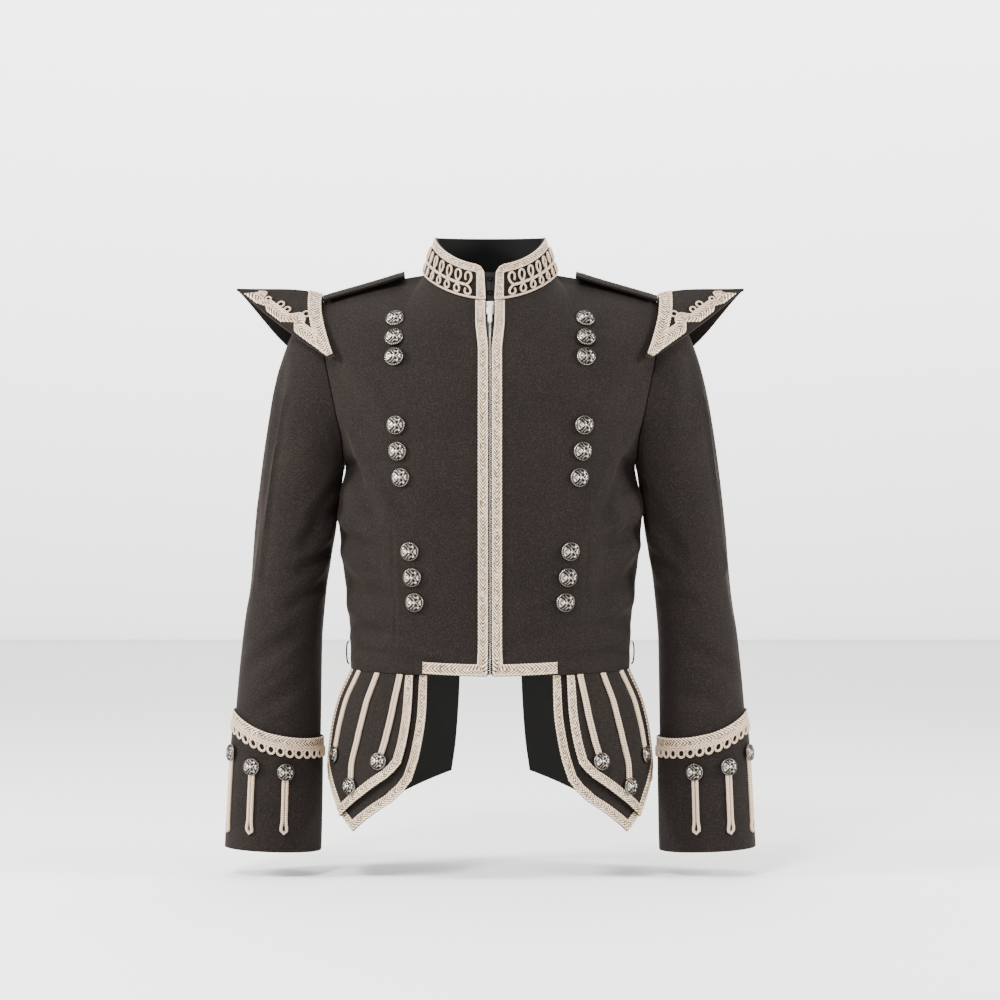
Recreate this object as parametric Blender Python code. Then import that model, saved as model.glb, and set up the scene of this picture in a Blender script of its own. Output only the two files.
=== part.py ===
"""A military doublet of black wool: short fitted body, stand collar, shoulder wings, skirt flaps.

The garment keeps the hollow form it has when worn. +Z is up, the front faces -Y, and left and
right are the wearer's, so the left side is at +X. The origin lies midway between the shoulder
seams, 8 mm below the points where they meet the collar. Sizes are in millimetres.
"""
import math
from types import SimpleNamespace

import bmesh
import bpy
from mathutils import Matrix, Vector

MM = 0.001

# Driving sizes
CLOTH = 2.2               # body and sleeve cloth with its lining
COLLAR_CLOTH = 3.0
WING_BOARD = 3.0
FLAP_CLOTH = 2.6
SEAM_GAP = 0.25           # each piece keeps this far from the seam line
LAID_GAP = 0.45           # what lies on a panel is moved out by this
BRAID = 1.5
SHOULDER_SHARE = 0.42     # share of a front's width that runs up to the neck
NECK_HALF_WIDTH = 85.0
NECK_FRONT, NECK_BACK = 86.0, 70.0
NECK_FRONT_Z, NECK_SIDE_Z, NECK_BACK_Z = -30.0, 8.0, 12.0
SHOULDER_END = Vector((214.0, 0.0, -21.0))
SHOULDER_BOW = 2.5        # how far the shoulder seam arches above a straight line
ARMPIT_PLACE, TOP_PLACE = 6, 14
RING_POWER = 2.4          # squareness of the torso's sections
FRONT_BAND = 12.5
HEM_BAND_END = 84.0
BUTTON_RADIUS, CUFF_BUTTON_RADIUS = 12.0, 11.0
BAR_WIDTH = 7.5
CUFF_BAND = 13.0


class Sections:
    """Rows of named columns, read smoothly at any place between the rows."""

    def __init__(self, columns, *rows):
        self.columns = columns
        self.rows = rows

    def slope(self, row, column):
        """Slope at a row that never lets the curve swing past the row's neighbours."""
        last = len(self.rows) - 1
        before = self.step(max(row - 1, 0), column)
        after = self.step(min(row, last - 1), column)
        if before * after <= 0:
            return 0.0
        return 2 * before * after / (before + after)

    def step(self, row, column):
        low, high = self.rows[row], self.rows[row + 1]
        return (high[column] - low[column]) / (high[0] - low[0])

    def at(self, place):
        row = 0
        while row < len(self.rows) - 2 and place > self.rows[row + 1][0]:
            row += 1
        low, high = self.rows[row], self.rows[row + 1]
        span = high[0] - low[0]
        t = min(max((place - low[0]) / span, 0.0), 1.0)
        values = {}
        for column, name in enumerate(self.columns):
            slope_low = self.slope(row, column) * span
            slope_high = self.slope(row + 1, column) * span
            values[name] = ((2 * t ** 3 - 3 * t * t + 1) * low[column]
                            + (t ** 3 - 2 * t * t + t) * slope_low
                            + (3 * t * t - 2 * t ** 3) * high[column]
                            + (t ** 3 - t * t) * slope_high)
        return SimpleNamespace(**values)


# The body from hem (0) to armpit (6) to neck and shoulder seam (14). The edge is the side seam
# and then the armhole. The sweep is how far round a section runs, and the last two columns say
# how far a row has moved back to the shoulder seam and risen to it.
BODY = Sections(
    ("place", "edge_x", "edge_z", "front_z", "front_y", "front_edge_y",
     "back_z", "back_y", "back_edge_y", "sweep", "inward", "rise"),
    (0, 179, -495, -501, 112, 0, -499, 97, 0, 90, 0, 0),
    (1, 180, -454, -456, 108, 0, -454, 92, 0, 90, 0, 0),
    (2, 184, -408, -410, 110, 0, -408, 94, 0, 90, 0, 0),
    (3, 191.5, -345, -347, 117, 0, -345, 101, 0, 90, 0, 0),
    (4, 195, -300, -300, 123, 0, -300, 110, 0, 90, 0, 0),
    (5, 190, -262, -262, 126, 0, -262, 115, 0, 90, 0, 0),
    (6, 186.5, -240, -240, 126.5, 0, -240, 118, 0, 90, 0, 0),
    (7, 187.2, -228, -222, 126, 30, -218, 119.5, 28, 82, 0, 0),
    (8, 189.5, -200, -195, 125, 50, -188, 120, 46, 75, 0, 0),
    (9, 196, -168, -165, 122, 61, -155, 119.5, 54, 70, 0, 0),
    (10, 202.5, -136, -137, 118.5, 63, -121, 117, 56, 66, 0.02, 0.03),
    (11, 209, -103, -109, 113, 59, -88, 112, 52, 62, 0.07, 0.14),
    (12, 212.5, -71, -82, 106, 47, -57, 104, 42, 60, 0.22, 0.36),
    (13, 214.5, -43, -56, 97.5, 28, -26.5, 93, 26, 58, 0.52, 0.7),
    (14, 214, -21, -30, 86, 0, 12, 70, 0, 56, 1, 1))

# Soft troughs that run from the armpit and above the waist: the two ends of each, how wide it is
# on each side and how deep. The back has its own.
FOLDS = {
    "front": (
        ((184, -236), (150, -290), 20, 4.0),
        ((190, -318), (150, -332), 17, 2.6),
        ((186, -372), (144, -404), 18, 2.4)),
    "back": (
        ((184, -232), (128, -276), 22, 4.0),
        ((182, -335), (96, -352), 20, 3.0),
        ((178, -402), (110, -418), 18, 2.4))}

# Half the opening between the front edges, by height: it parts a little at the top and hem
OPENING = Sections(
    ("height", "half"),
    (-501, 3.0), (-480, 2.1), (-440, 1.8), (-85, 1.8), (-56, 5.3), (-30, 5.3))

# The sleeve from armhole (0) to wrist (12), by its outer and inner edge seen from the front
SLEEVE = Sections(
    ("place", "outer_x", "outer_z", "inner_x", "inner_z", "depth", "centre_y", "armhole"),
    (0, 214, -21, 186.5, -240, 62, 0, 1),
    (1, 228, -27, 189.5, -246, 62, 0, 0.8),
    (2, 244, -47, 191, -254, 62, 0, 0.5),
    (3, 259.5, -78, 193, -264, 62, 1, 0.22),
    (4, 276.5, -135, 196.5, -286, 61, 2, 0.06),
    (5, 291, -219, 199.5, -322, 60, 4, 0),
    (6, 300, -294, 206, -362, 59, 5, 0),
    (7, 308, -379, 212, -410, 58, 4, 0),
    (8, 317.5, -454, 216, -466, 56, 1, 0),
    (9, 323, -510, 216.5, -516, 54, -3, 0),
    (10, 327, -560, 217, -563, 53, -6, 0),
    (11, 331.5, -620, 217.5, -622, 52, -9, 0),
    (12, 335, -706, 219.5, -708, 52, -12, 0))
SLEEVE_POWER = 2.15

# The ring below the hem on which the skirt flaps hang: they spring out over the hips
SKIRT = Sections(
    ("height", "half_width", "front", "back"),
    (-700, 209, 141, 134), (-640, 209, 136, 128), (-610, 207.5, 132, 124),
    (-570, 203, 126, 116), (-540, 196, 121, 108), (-495, 178, 113, 98))

# Each skirt flap's edges by height, and its lower edge by share of the way across it
FLAP_SIDES = {
    "over": Sections(
        ("height", "inner", "outer"),
        (-690, 128, 207), (-620, 114, 207), (-577, 103, 203), (-540, 98, 195), (-495, 96, 176)),
    "under": Sections(
        ("height", "inner", "outer"),
        (-700, 116, 206), (-640, 106, 206), (-596, 93, 204), (-540, 85, 193), (-495, 84, 174)),
    "rear": Sections(
        ("height", "inner", "outer"),
        (-700, 60, 208.5), (-640, 52, 208.5), (-596, 46, 206), (-540, 42, 195.5), (-495, 40, 177))}
FLAP_HEMS = {
    "over": Sections(("share", "height"), (0, -609), (0.085, -627), (0.3, -650), (0.61, -679),
                     (0.8, -651), (1, -621)),
    "under": Sections(("share", "height"), (0, -630), (0.13, -658), (0.53, -697), (0.75, -676),
                      (1, -650)),
    "rear": Sections(("share", "height"), (0, -640), (0.25, -668), (0.5, -694), (0.75, -668),
                     (1, -640))}
FLAP_TIPS = {"over": 0.61, "under": 0.53, "rear": 0.5}     # shares at which the hems are lowest
FLAP_BORDER = 11.3
# Bars of the skirt flap with the button at the foot of each: share across, how much less that is
# at the hem, height of the button and how far it stands off the cloth
FLAP_BARS = (("inner", 0.175, 0.04, -607, 1.6), ("middle", 0.46, 0.075, -640, 1.6),
             ("outer", 0.74, 0.045, -603, 1.0))

# Buttons on the front: group, how far they stand off the cloth, then each one's distance from
# the centre and its height
FRONT_BUTTONS = (
    ("top", 0.15, ((120, -52.5), (120.5, -77), (120, -102))),
    ("chest", 0.6, ((117, -187.5), (115, -220), (111, -253))),
    ("waist", 0.6, ((100, -345), (97, -377.5), (94, -409))))
# Bars and buttons of the cuff: degrees round the cuff from its outer side towards the front, and
# how far the button is below the cuff's upper edge
CUFF_BARS = (("outer", 27, 50), ("middle", 66, 50), ("inner", 104, 45))
CUFF_BAR_END = -702.0

SIDES = (("left", 1), ("right", -1))

# Colour, roughness and metallic of each material
LOOKS = {
    "black_wool": ((0.036, 0.030, 0.027), 0.9, 0.0),
    "black_lining": ((0.012, 0.011, 0.011), 0.6, 0.0),
    "silver_braid": ((0.68, 0.62, 0.56), 0.55, 0.2),
    "nickel": ((0.42, 0.40, 0.38), 0.3, 1.0),
    "zip_metal": ((0.75, 0.75, 0.75), 0.25, 1.0),
    "zip_tape": ((0.03, 0.03, 0.03), 0.8, 0.0)}


def material(name, piece):
    colour, roughness, metallic = LOOKS[name]
    made = bpy.data.materials.new(name + "." + piece)
    made.use_nodes = True
    shader = made.node_tree.nodes["Principled BSDF"]
    shader.inputs["Base Color"].default_value = (*colour, 1)
    shader.inputs["Roughness"].default_value = roughness
    shader.inputs["Metallic"].default_value = metallic
    made.diffuse_color = (*colour, 1)
    return made


def add_object(name, points, faces, look, smooth_angle=40):
    """A named object from points in millimetres and its faces."""
    mesh = bpy.data.meshes.new(name)
    mesh.from_pydata([point * MM for point in points], [], faces)
    mesh.validate()
    mesh.shade_smooth()
    mesh.set_sharp_from_angle(angle=math.radians(smooth_angle))
    mesh.materials.append(material(look, name))
    made = bpy.data.objects.new(name, mesh)
    bpy.context.collection.objects.link(made)
    return made


def grid_normals(rows, side, wrap):
    """Outward direction at each point of a grid; side says which way the columns turn."""
    last_row = len(rows) - 1
    count = len(rows[0])
    normals = []
    for i, row in enumerate(rows):
        line = []
        for j in range(count):
            ahead = (j + 1) % count if wrap else min(j + 1, count - 1)
            behind = (j - 1) % count if wrap else max(j - 1, 0)
            across = row[ahead] - row[behind]
            along = rows[min(i + 1, last_row)][j] - rows[max(i - 1, 0)][j]
            line.append(across.cross(along).normalized() * side)
        normals.append(line)
    return normals


def wall(name, rows, thickness, look, side=1, wrap=False, lift=0.0, raised=None, kept=None,
         turn=None):
    """A closed wall: its outer face follows the grid, its inner face lies a thickness inside.

    lift moves the whole wall out, raised(i, j) moves single outer points out, kept(i, j) says
    which cells are cloth, and turn(i, j, normal) corrects the direction along a seam.
    """
    normals = grid_normals(rows, side, wrap)
    count = len(rows[0])
    points = []
    for i, row in enumerate(rows):
        for j, point in enumerate(row):
            normal = normals[i][j]
            if turn:
                normal = turn(i, j, normal).normalized()
            out = lift + (raised(i, j) if raised else 0.0)
            points.append(point + normal * (out + (thickness if lift else 0.0)))
            points.append(point + normal * (lift if lift else -thickness))
    cells = [(i, j) for i in range(len(rows) - 1) for j in range(count if wrap else count - 1)
             if kept is None or kept(i, j)]
    faces = []
    borders = set()
    for i, j in cells:
        ahead = (j + 1) % count
        corners = [i * count + j, i * count + ahead, (i + 1) * count + ahead, (i + 1) * count + j]
        if side < 0:
            corners.reverse()
        faces.append([2 * corner for corner in corners])
        faces.append([2 * corner + 1 for corner in reversed(corners)])
        for start, end in zip(corners, corners[1:] + corners[:1]):
            if (end, start) in borders:
                borders.remove((end, start))
            else:
                borders.add((start, end))
    for start, end in sorted(borders):
        faces.append([2 * end, 2 * start, 2 * start + 1, 2 * end + 1])
    used = sorted({corner for face in faces for corner in face})
    place = {corner: index for index, corner in enumerate(used)}
    return add_object(name, [points[corner] for corner in used],
                      [[place[corner] for corner in face] for face in faces], look)


def mirror(point, side):
    return Vector((point.x * side, point.y, point.z))


def power(value, exponent):
    return math.copysign(abs(value) ** exponent, value)


def between(low, high, steps):
    return [low + (high - low) * step / steps for step in range(steps + 1)]


# The torso
def neck_point(angle, opening=0.0):
    """The neck seam, by degrees round from the centre front."""
    sine, cosine = math.sin(math.radians(angle)), math.cos(math.radians(angle))
    x = opening + (NECK_HALF_WIDTH - opening) * sine
    if cosine > 0:
        z = NECK_SIDE_Z + (NECK_FRONT_Z - NECK_SIDE_Z) * cosine ** 1.5
        return Vector((x, -NECK_FRONT * cosine, z))
    return Vector((x, -NECK_BACK * cosine, NECK_SIDE_Z - (NECK_BACK_Z - NECK_SIDE_Z) * cosine))


def shoulder_seam(along):
    """The shoulder seam, from the collar at 0 to the armhole at 1."""
    point = neck_point(90).lerp(SHOULDER_END, along)
    point.z += SHOULDER_BOW * math.sin(math.pi * along)
    return point


def neck_and_shoulder(part, share, opening):
    """The top edge of a front or of half the back: along the neck, then the shoulder seam."""
    if share <= SHOULDER_SHARE:
        turned = 90 * share / SHOULDER_SHARE
        return neck_point(turned if part == "front" else 180 - turned, opening)
    along = (share - SHOULDER_SHARE) / (1 - SHOULDER_SHARE)
    return shoulder_seam(along)


def section_point(part, share, row, opening):
    """A point of the plain rounded section of the front or back."""
    depth, edge, height, facing = (
        (row.front_y, row.front_edge_y, row.front_z, -1) if part == "front" else
        (row.back_y, row.back_edge_y, row.back_z, 1))
    sweep = math.radians(row.sweep)
    turned = sweep * share
    exponent = 2 / RING_POWER
    x_share = math.sin(turned) ** exponent / math.sin(sweep) ** exponent
    y_share = (1 - power(math.cos(turned), exponent)) / (1 - power(math.cos(sweep), exponent))
    return Vector((opening + (row.edge_x - opening) * x_share,
                   facing * (depth - (depth - edge) * y_share),
                   height + (row.edge_z - height) * share))


def fold_depth(part, point):
    """How far the folds draw the cloth in at a point."""
    depth = 0.0
    for start, end, width, deepest in FOLDS[part]:
        run_x, run_z = end[0] - start[0], end[1] - start[1]
        length = math.hypot(run_x, run_z)
        off_x, off_z = point.x - start[0], point.z - start[1]
        along = (off_x * run_x + off_z * run_z) / length
        across = (off_x * run_z - off_z * run_x) / length
        past = max(-along, along - length, 0)
        depth += deepest * math.exp(-(across / width) ** 2 - (past / (1.5 * width)) ** 2)
    return depth


def body_point(part, share, place):
    """The outer face of the front or back, at a share of its width and a place up the body."""
    row = BODY.at(place)
    top = BODY.at(TOP_PLACE)
    opening = OPENING.at(row.front_z).half if part == "front" else 0.0
    top_opening = OPENING.at(top.front_z).half if part == "front" else 0.0
    point = section_point(part, share, row, opening)
    shift = (neck_and_shoulder(part, share, top_opening)
             - section_point(part, share, top, top_opening))
    point += Vector((shift.x * row.inward, shift.y * row.inward, shift.z * row.rise))
    facing = -1 if part == "front" else 1
    point.y -= facing * fold_depth(part, point) * (1 - share ** 6)
    return point


PLACES_BELOW = between(0, ARMPIT_PLACE, 8)
PLACES_ABOVE = between(ARMPIT_PLACE, TOP_PLACE, 9)
PLACES = PLACES_BELOW + PLACES_ABOVE[1:]
SHARES = between(0, SHOULDER_SHARE, 5) + between(SHOULDER_SHARE, 1, 6)[1:]


def keep_seam(point, part, share, place):
    """Draw a panel's point back from the side, shoulder and armhole seams."""
    facing = -1 if part == "front" else 1
    moved = point.copy()
    if share == 1 and place <= ARMPIT_PLACE:
        moved.y += facing * SEAM_GAP
    if place == TOP_PLACE and share >= SHOULDER_SHARE:
        moved.y += facing * SEAM_GAP
    if share == 1 and place > ARMPIT_PLACE:
        moved.x -= SEAM_GAP
    return moved


def body_turn(shares, part):
    def turn(i, j, normal):
        share, place = abs(shares[j]), PLACES[i]
        fixed = normal.copy()
        if part == "front" and share == 0:
            fixed.x = 0
        if share == 1 and place <= ARMPIT_PLACE:
            fixed.y = fixed.z = 0
        if place == TOP_PLACE and share >= SHOULDER_SHARE:
            fixed.y = 0
        return fixed
    return turn


def make_body():
    for name, side in SIDES:
        rows = [[mirror(keep_seam(body_point("front", share, place), "front", share, place), side)
                 for share in SHARES] for place in PLACES]
        wall("front_" + name, rows, CLOTH, "black_wool", side, turn=body_turn(SHARES, "front"))
    shares = [-share for share in reversed(SHARES[1:])] + SHARES
    rows = [[mirror(keep_seam(body_point("back", abs(share), place), "back", abs(share), place),
                    -1 if share < 0 else 1) for share in shares] for place in PLACES]
    wall("back", rows, CLOTH, "black_wool", -1, turn=body_turn(shares, "back"))


def on_front(x, z):
    """Share and place on the front at a distance from the centre and a height."""
    place = 0.0
    while place < TOP_PLACE - 0.2 and BODY.at(place).front_z < z:
        place += 0.1
    row = BODY.at(place)
    opening = OPENING.at(z).half
    x_share = min(max((x - opening) / (row.edge_x - opening), 0), 1)
    share = math.asin(x_share ** (RING_POWER / 2)) / math.radians(row.sweep)
    step = 0.002
    for _ in range(8):
        share = min(max(share, 0.0), 0.99)
        place = min(max(place, 0.0), TOP_PLACE - 0.01)
        here = body_point("front", share, place)
        by_share = (body_point("front", share + step, place) - here) / step
        by_place = (body_point("front", share, place + step) - here) / step
        miss_x, miss_z = x - here.x, z - here.z
        spread = by_share.x * by_place.z - by_place.x * by_share.z
        share_step = (miss_x * by_place.z - by_place.x * miss_z) / spread
        place_step = (by_share.x * miss_z - by_share.z * miss_x) / spread
        share += min(max(share_step, -0.1), 0.1)
        place += min(max(place_step, -0.6), 0.6)
    return min(max(share, 0.0), 0.99), min(max(place, 0.0), TOP_PLACE - 0.01)


def front_place(x, z):
    """The point of the front's outer face there and its outward direction."""
    share, place = on_front(x, z)
    here = body_point("front", share, place)
    across = body_point("front", share + 0.001, place) - here
    up = body_point("front", share, place + 0.001) - here
    return here, across.cross(up).normalized()


# The collar
def collar_point(angle, rise, drop=0.0):
    """A point of the collar: degrees round from the centre front, and its height in 0 to 1."""
    foot = neck_point(angle)
    sine, cosine = math.sin(math.radians(angle)), math.cos(math.radians(angle))
    top_z = 55 - 41 * cosine ** 1.3 if cosine > 0 else 55 - 4 * cosine
    top_y = -10 - (66 if cosine > 0 else 62) * cosine
    top = Vector((70.4 * sine, top_y, top_z))
    point = foot.lerp(top, rise)
    point.z += 0.5 - drop
    return point


COLLAR_HEIGHT, COLLAR_CORNER = 45.0, 12.0
COLLAR_BORDER = 10.5
COLLAR_LEVELS = ("foot", "lower", "below the border", "border", "top")
# Distances of the first columns from the collar's front edge: three on the border, one past it
COLLAR_COLUMNS = (0, 4.5, 10, 12)


def collar_row(level):
    """One line of the collar's grid, from front edge round the back to front edge."""
    half = []
    columns = 11
    for column in range(len(COLLAR_COLUMNS) + columns):
        distance = COLLAR_COLUMNS[min(column, len(COLLAR_COLUMNS) - 1)]
        reach = max(COLLAR_CORNER - distance, 0)
        drop = COLLAR_CORNER - math.sqrt(COLLAR_CORNER ** 2 - reach ** 2)
        high = COLLAR_HEIGHT - drop
        height = {"foot": 0, "lower": high * 0.38, "below the border": high - COLLAR_BORDER,
                  "border": high - COLLAR_BORDER + 1.2, "top": high}[level]
        rise = height / COLLAR_HEIGHT
        angle = 3.6 + 2.6 * rise + distance / 1.35
        along = max(column - len(COLLAR_COLUMNS) + 1, 0) / columns
        half.append(collar_point(angle + (180 - angle) * along, rise))
    return half


def make_collar():
    rows = []
    for level in COLLAR_LEVELS:
        half = collar_row(level)
        rows.append(half + [mirror(point, -1) for point in reversed(half[:-1])])
    last = len(rows[0]) - 1
    wall("collar", rows, COLLAR_CLOTH, "black_wool", 1,
         raised=lambda i, j: BRAID if i >= 3 or j <= 2 or j >= last - 2 else 0.0)


# The sleeves
def armhole_loop():
    """Armhole points from the shoulder end down the front to the armpit and up the back."""
    front = [body_point("front", 1, place) for place in reversed(PLACES_ABOVE)]
    back = [body_point("back", 1, place) for place in PLACES_ABOVE[1:-1]]
    return front + back


LOOP = armhole_loop()


def loop_angle(point):
    """Degrees round the armhole from its top, towards the front."""
    return math.degrees(math.atan2(-point.y / 62, (point.z + 135) / 105)) % 360


def sleeve_point(place, angle, out=0.0):
    """The sleeve's outer face: degrees round from its outer side towards the front."""
    row = SLEEVE.at(place)
    sine, cosine = math.sin(math.radians(angle)), math.cos(math.radians(angle))
    exponent = 2 / SLEEVE_POWER
    outer = Vector((row.outer_x, row.centre_y, row.outer_z))
    inner = Vector((row.inner_x, row.centre_y, row.inner_z))
    middle, reach = (outer + inner) / 2, (outer - inner) / 2
    grown = 1 + out / reach.length
    point = middle + reach * grown * power(cosine, exponent)
    point.y -= (row.depth + out) * power(sine, exponent)
    return point


def sleeve_ring(place):
    """A ring of the sleeve that takes the armhole's own shape near the top."""
    share = SLEEVE.at(place).armhole
    ring = []
    for seam in LOOP:
        angle = loop_angle(seam)
        point = sleeve_point(place, angle)
        ring.append(point + (seam - sleeve_point(0, angle)) * share)
    return ring


def make_sleeves():
    places = [0, 0.5, 1, 1.6, 2.3, 3, 3.7, 4.5, 5.4, 6.3, 7.2, 8.1, 9.1, 10.4, 12]

    def turn(i, j, normal):
        fixed = normal.copy()
        if i == 0:
            fixed.x = 0
        return fixed
    for name, side in SIDES:
        rows = [[mirror(point, side) for point in sleeve_ring(place)] for place in places]
        for point in rows[0]:
            point.x += side * SEAM_GAP * 2
        wall("sleeve_" + name, rows, CLOTH, "black_wool", side, wrap=True, turn=turn)


# The cuffs
def sleeve_place(height):
    """The place on the forearm at a height."""
    low, high = 8.0, 12.0
    for _ in range(30):
        middle = (low + high) / 2
        if SLEEVE.at(middle).outer_z > height:
            low = middle
        else:
            high = middle
    return low


def cuff_top(angle):
    """The cuff's upper edge, which rises towards its outer side."""
    return -583 + 35 * ((1 + math.cos(math.radians(angle))) / 2) ** 2.5


def cuff_foot(angle):
    return -728 + 5 * (1 + math.cos(math.radians(angle))) / 2


def cuff_point(angle, height):
    """The cuff's outer face: it stands off the sleeve and flares a little to its foot."""
    flare = 1.5 * max(-560 - height, 0) / 150
    place = sleeve_place(max(height, SLEEVE.rows[-1][2]))
    point = sleeve_point(place, angle, LAID_GAP + CLOTH + flare)
    over = SLEEVE.at(12)
    below = min(height - over.outer_z, 0)
    lean = Vector(((over.outer_x - SLEEVE.at(11).outer_x) / 86 * -below, 0, 0))
    return Vector((point.x + lean.x, point.y, height))


def cuff_angles():
    """The sleeve's own columns, with one more at each edge of each bar."""
    half = math.degrees(BAR_WIDTH / 2 / 54)
    edges = [angle + turn for _, angle, _ in CUFF_BARS for turn in (-half, half)]
    columns = [loop_angle(point) for point in LOOP]
    columns = [angle for angle in columns if all(abs(angle - edge) > 1 for edge in edges)]
    return sorted(columns + edges), sorted(edges)[::2]


def make_cuffs():
    angles, bar_starts = cuff_angles()
    bar_columns = [angles.index(start) + extra for start in bar_starts for extra in (0, 1)
                   if angles[angles.index(start) + extra] < start + 7]
    shares = (0, 0.15, 0.5, 1)
    for name, side in SIDES:
        rows = []
        for share in shares:
            rows.append([mirror(cuff_point(angle, cuff_top(angle) * (1 - share)
                                           + cuff_foot(angle) * share), side)
                         for angle in angles])
        wall("cuff_" + name, rows, CLOTH, "black_wool", side, wrap=True)
        make_cuff_braid(name, side, angles, bar_columns)


def make_cuff_braid(name, side, angles, bar_columns):
    """The band round the cuff's upper edge, with three bars hanging from it."""
    rows = []
    for level in range(6):
        line = []
        for angle in angles:
            top, low = cuff_top(angle) - 0.5, CUFF_BAR_END
            heights = (top, top - CUFF_BAND, top - 40, (top - 40) * 0.6 + low * 0.4,
                       (top - 40) * 0.2 + low * 0.8, low)
            line.append(mirror(cuff_point(angle, heights[level]), side))
        rows.append(line)
    wall("cuff_braid_" + name, rows, BRAID, "silver_braid", side, wrap=True, lift=LAID_GAP,
         kept=lambda i, j: i == 0 or j in bar_columns)


# The shoulder wings
WING_TIP = Vector((326.0, 0.0, -9.0))
WING_TURN = 3.0           # how many places down the armhole the wing's inner edge runs


def wing_inner(along):
    """The wing's sewn edge, -1 at its front point and 1 at its back point."""
    reach = abs(along)
    part, facing = ("front", -1) if along < 0 else ("back", 1)
    point = body_point(part, 1, TOP_PLACE - WING_TURN * reach)
    return point + Vector((1.5 - 15 * reach ** 2, facing * (3 * reach + 19 * reach ** 3),
                           4.2 - 2 * reach))


def wing_outer(along):
    """The wing's free edge, from point to tip to point; the back half droops more."""
    reach = abs(along)
    end = wing_inner(math.copysign(1, along)) + Vector((5, 0, -3))
    point = WING_TIP.lerp(end, reach)
    droop, skew = (4, 1.0) if along < 0 else (22, 1.3)
    bow = math.sin(math.pi * reach ** skew)
    return point + Vector((0.2 * droop * bow, 0, -droop * bow))


def wing_point(along, out):
    point = wing_inner(along).lerp(wing_outer(along), out)
    point.z += 9 * math.sin(math.pi * out) * math.exp(-2 * out) * (1 - along ** 2)
    return point


WING_ALONGS = (-1, -0.86, -0.7, -0.52, -0.34, -0.16, 0, 0.16, 0.34, 0.52, 0.7, 0.86, 1)
WING_OUTS = between(0, 1, 6)


def make_wings():
    for name, side in SIDES:
        rows = [[mirror(wing_point(along, out), side) for along in WING_ALONGS]
                for out in WING_OUTS]
        wall("wing_" + name, rows, WING_BOARD, "black_wool", -side)
        make_wing_braid(name, side)


def cell_of(value, marks):
    """The two marks that a value lies between, and how far it is from the first to the second."""
    first = max(index for index in range(len(marks) - 1) if index == 0 or marks[index] <= value)
    low, high = marks[first], marks[first + 1]
    return low, high, (value - low) / (high - low)


def on_wing(along, out):
    """A point on the wing's own facets."""
    back, ahead, share = cell_of(along, WING_ALONGS)
    near, far, reach = cell_of(out, WING_OUTS)
    start = wing_point(back, near).lerp(wing_point(back, far), reach)
    end = wing_point(ahead, near).lerp(wing_point(ahead, far), reach)
    return start.lerp(end, share)


def make_wing_braid(name, side):
    """A closed border: wide along the sewn edge, narrower along the free edge."""
    inner_band, free_band, inset = 18.0, 11.0, 0.8
    ends = 0.72
    alongs = [min(max(along, -0.985), 0.985) for along in WING_ALONGS]

    def at(along, from_inner, from_outer):
        width = (wing_outer(along) - wing_inner(along)).length
        out = from_inner / width if from_outer is None else 1 - from_outer / width
        return mirror(on_wing(along, out), side)
    edge, hole = [], []
    for along in alongs:
        edge.append(at(along, None, inset))
        hole.append(at(along * ends, None, free_band))
    for along in reversed(alongs):
        edge.append(at(along, inset, None))
        hole.append(at(along * ends, inner_band, None))
    middle = [(low + high) / 2 for low, high in zip(edge, hole)]
    wall("wing_braid_" + name, [edge, middle, hole], BRAID, "silver_braid", side, wrap=True,
         lift=1.1)


# The shoulder straps
def make_straps():
    half_width = 23.0
    for name, side in SIDES:
        rows = []
        for along in between(0, 1, 5):
            x = 111 + (211.5 - 111) * along
            seam_z = shoulder_seam((x - NECK_HALF_WIDTH) / (SHOULDER_END.x - NECK_HALF_WIDTH)).z
            lifted = 6 * (1 - along) ** 3
            rows.append([mirror(Vector((x, half_width * across, seam_z + 0.5 + lifted
                                        - 7 * across ** 2)), side)
                         for across in (-1, -0.5, 0, 0.5, 1)])
        wall("strap_" + name, rows, 3.0, "black_wool", -side, lift=0.01)


# The skirt flaps
def flap_point(kind, share, height, inset=0.0):
    """A point of a skirt flap, by share of the way from its inner to its outer edge."""
    ring = SKIRT.at(height)
    sides = FLAP_SIDES[kind].at(height)
    half_width = ring.half_width - inset
    depth = (ring.back if kind == "rear" else ring.front) - inset
    exponent = 2 / RING_POWER

    def angle_of(x):
        return math.asin(min(x / half_width, 0.9995) ** (1 / exponent))
    first, last = angle_of(sides.inner - inset), angle_of(sides.outer - inset)
    turned = first + (last - first) * share
    facing = 1 if kind == "rear" else -1
    return Vector((half_width * math.sin(turned) ** exponent,
                   facing * depth * math.cos(turned) ** exponent, height))


def hem_height(share, kind):
    """Height of the body's lower edge above a flap, less the gap to it."""
    return -499.9 + 3.6 * share if kind != "rear" else -499.2 + 3.5 * share


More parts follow.
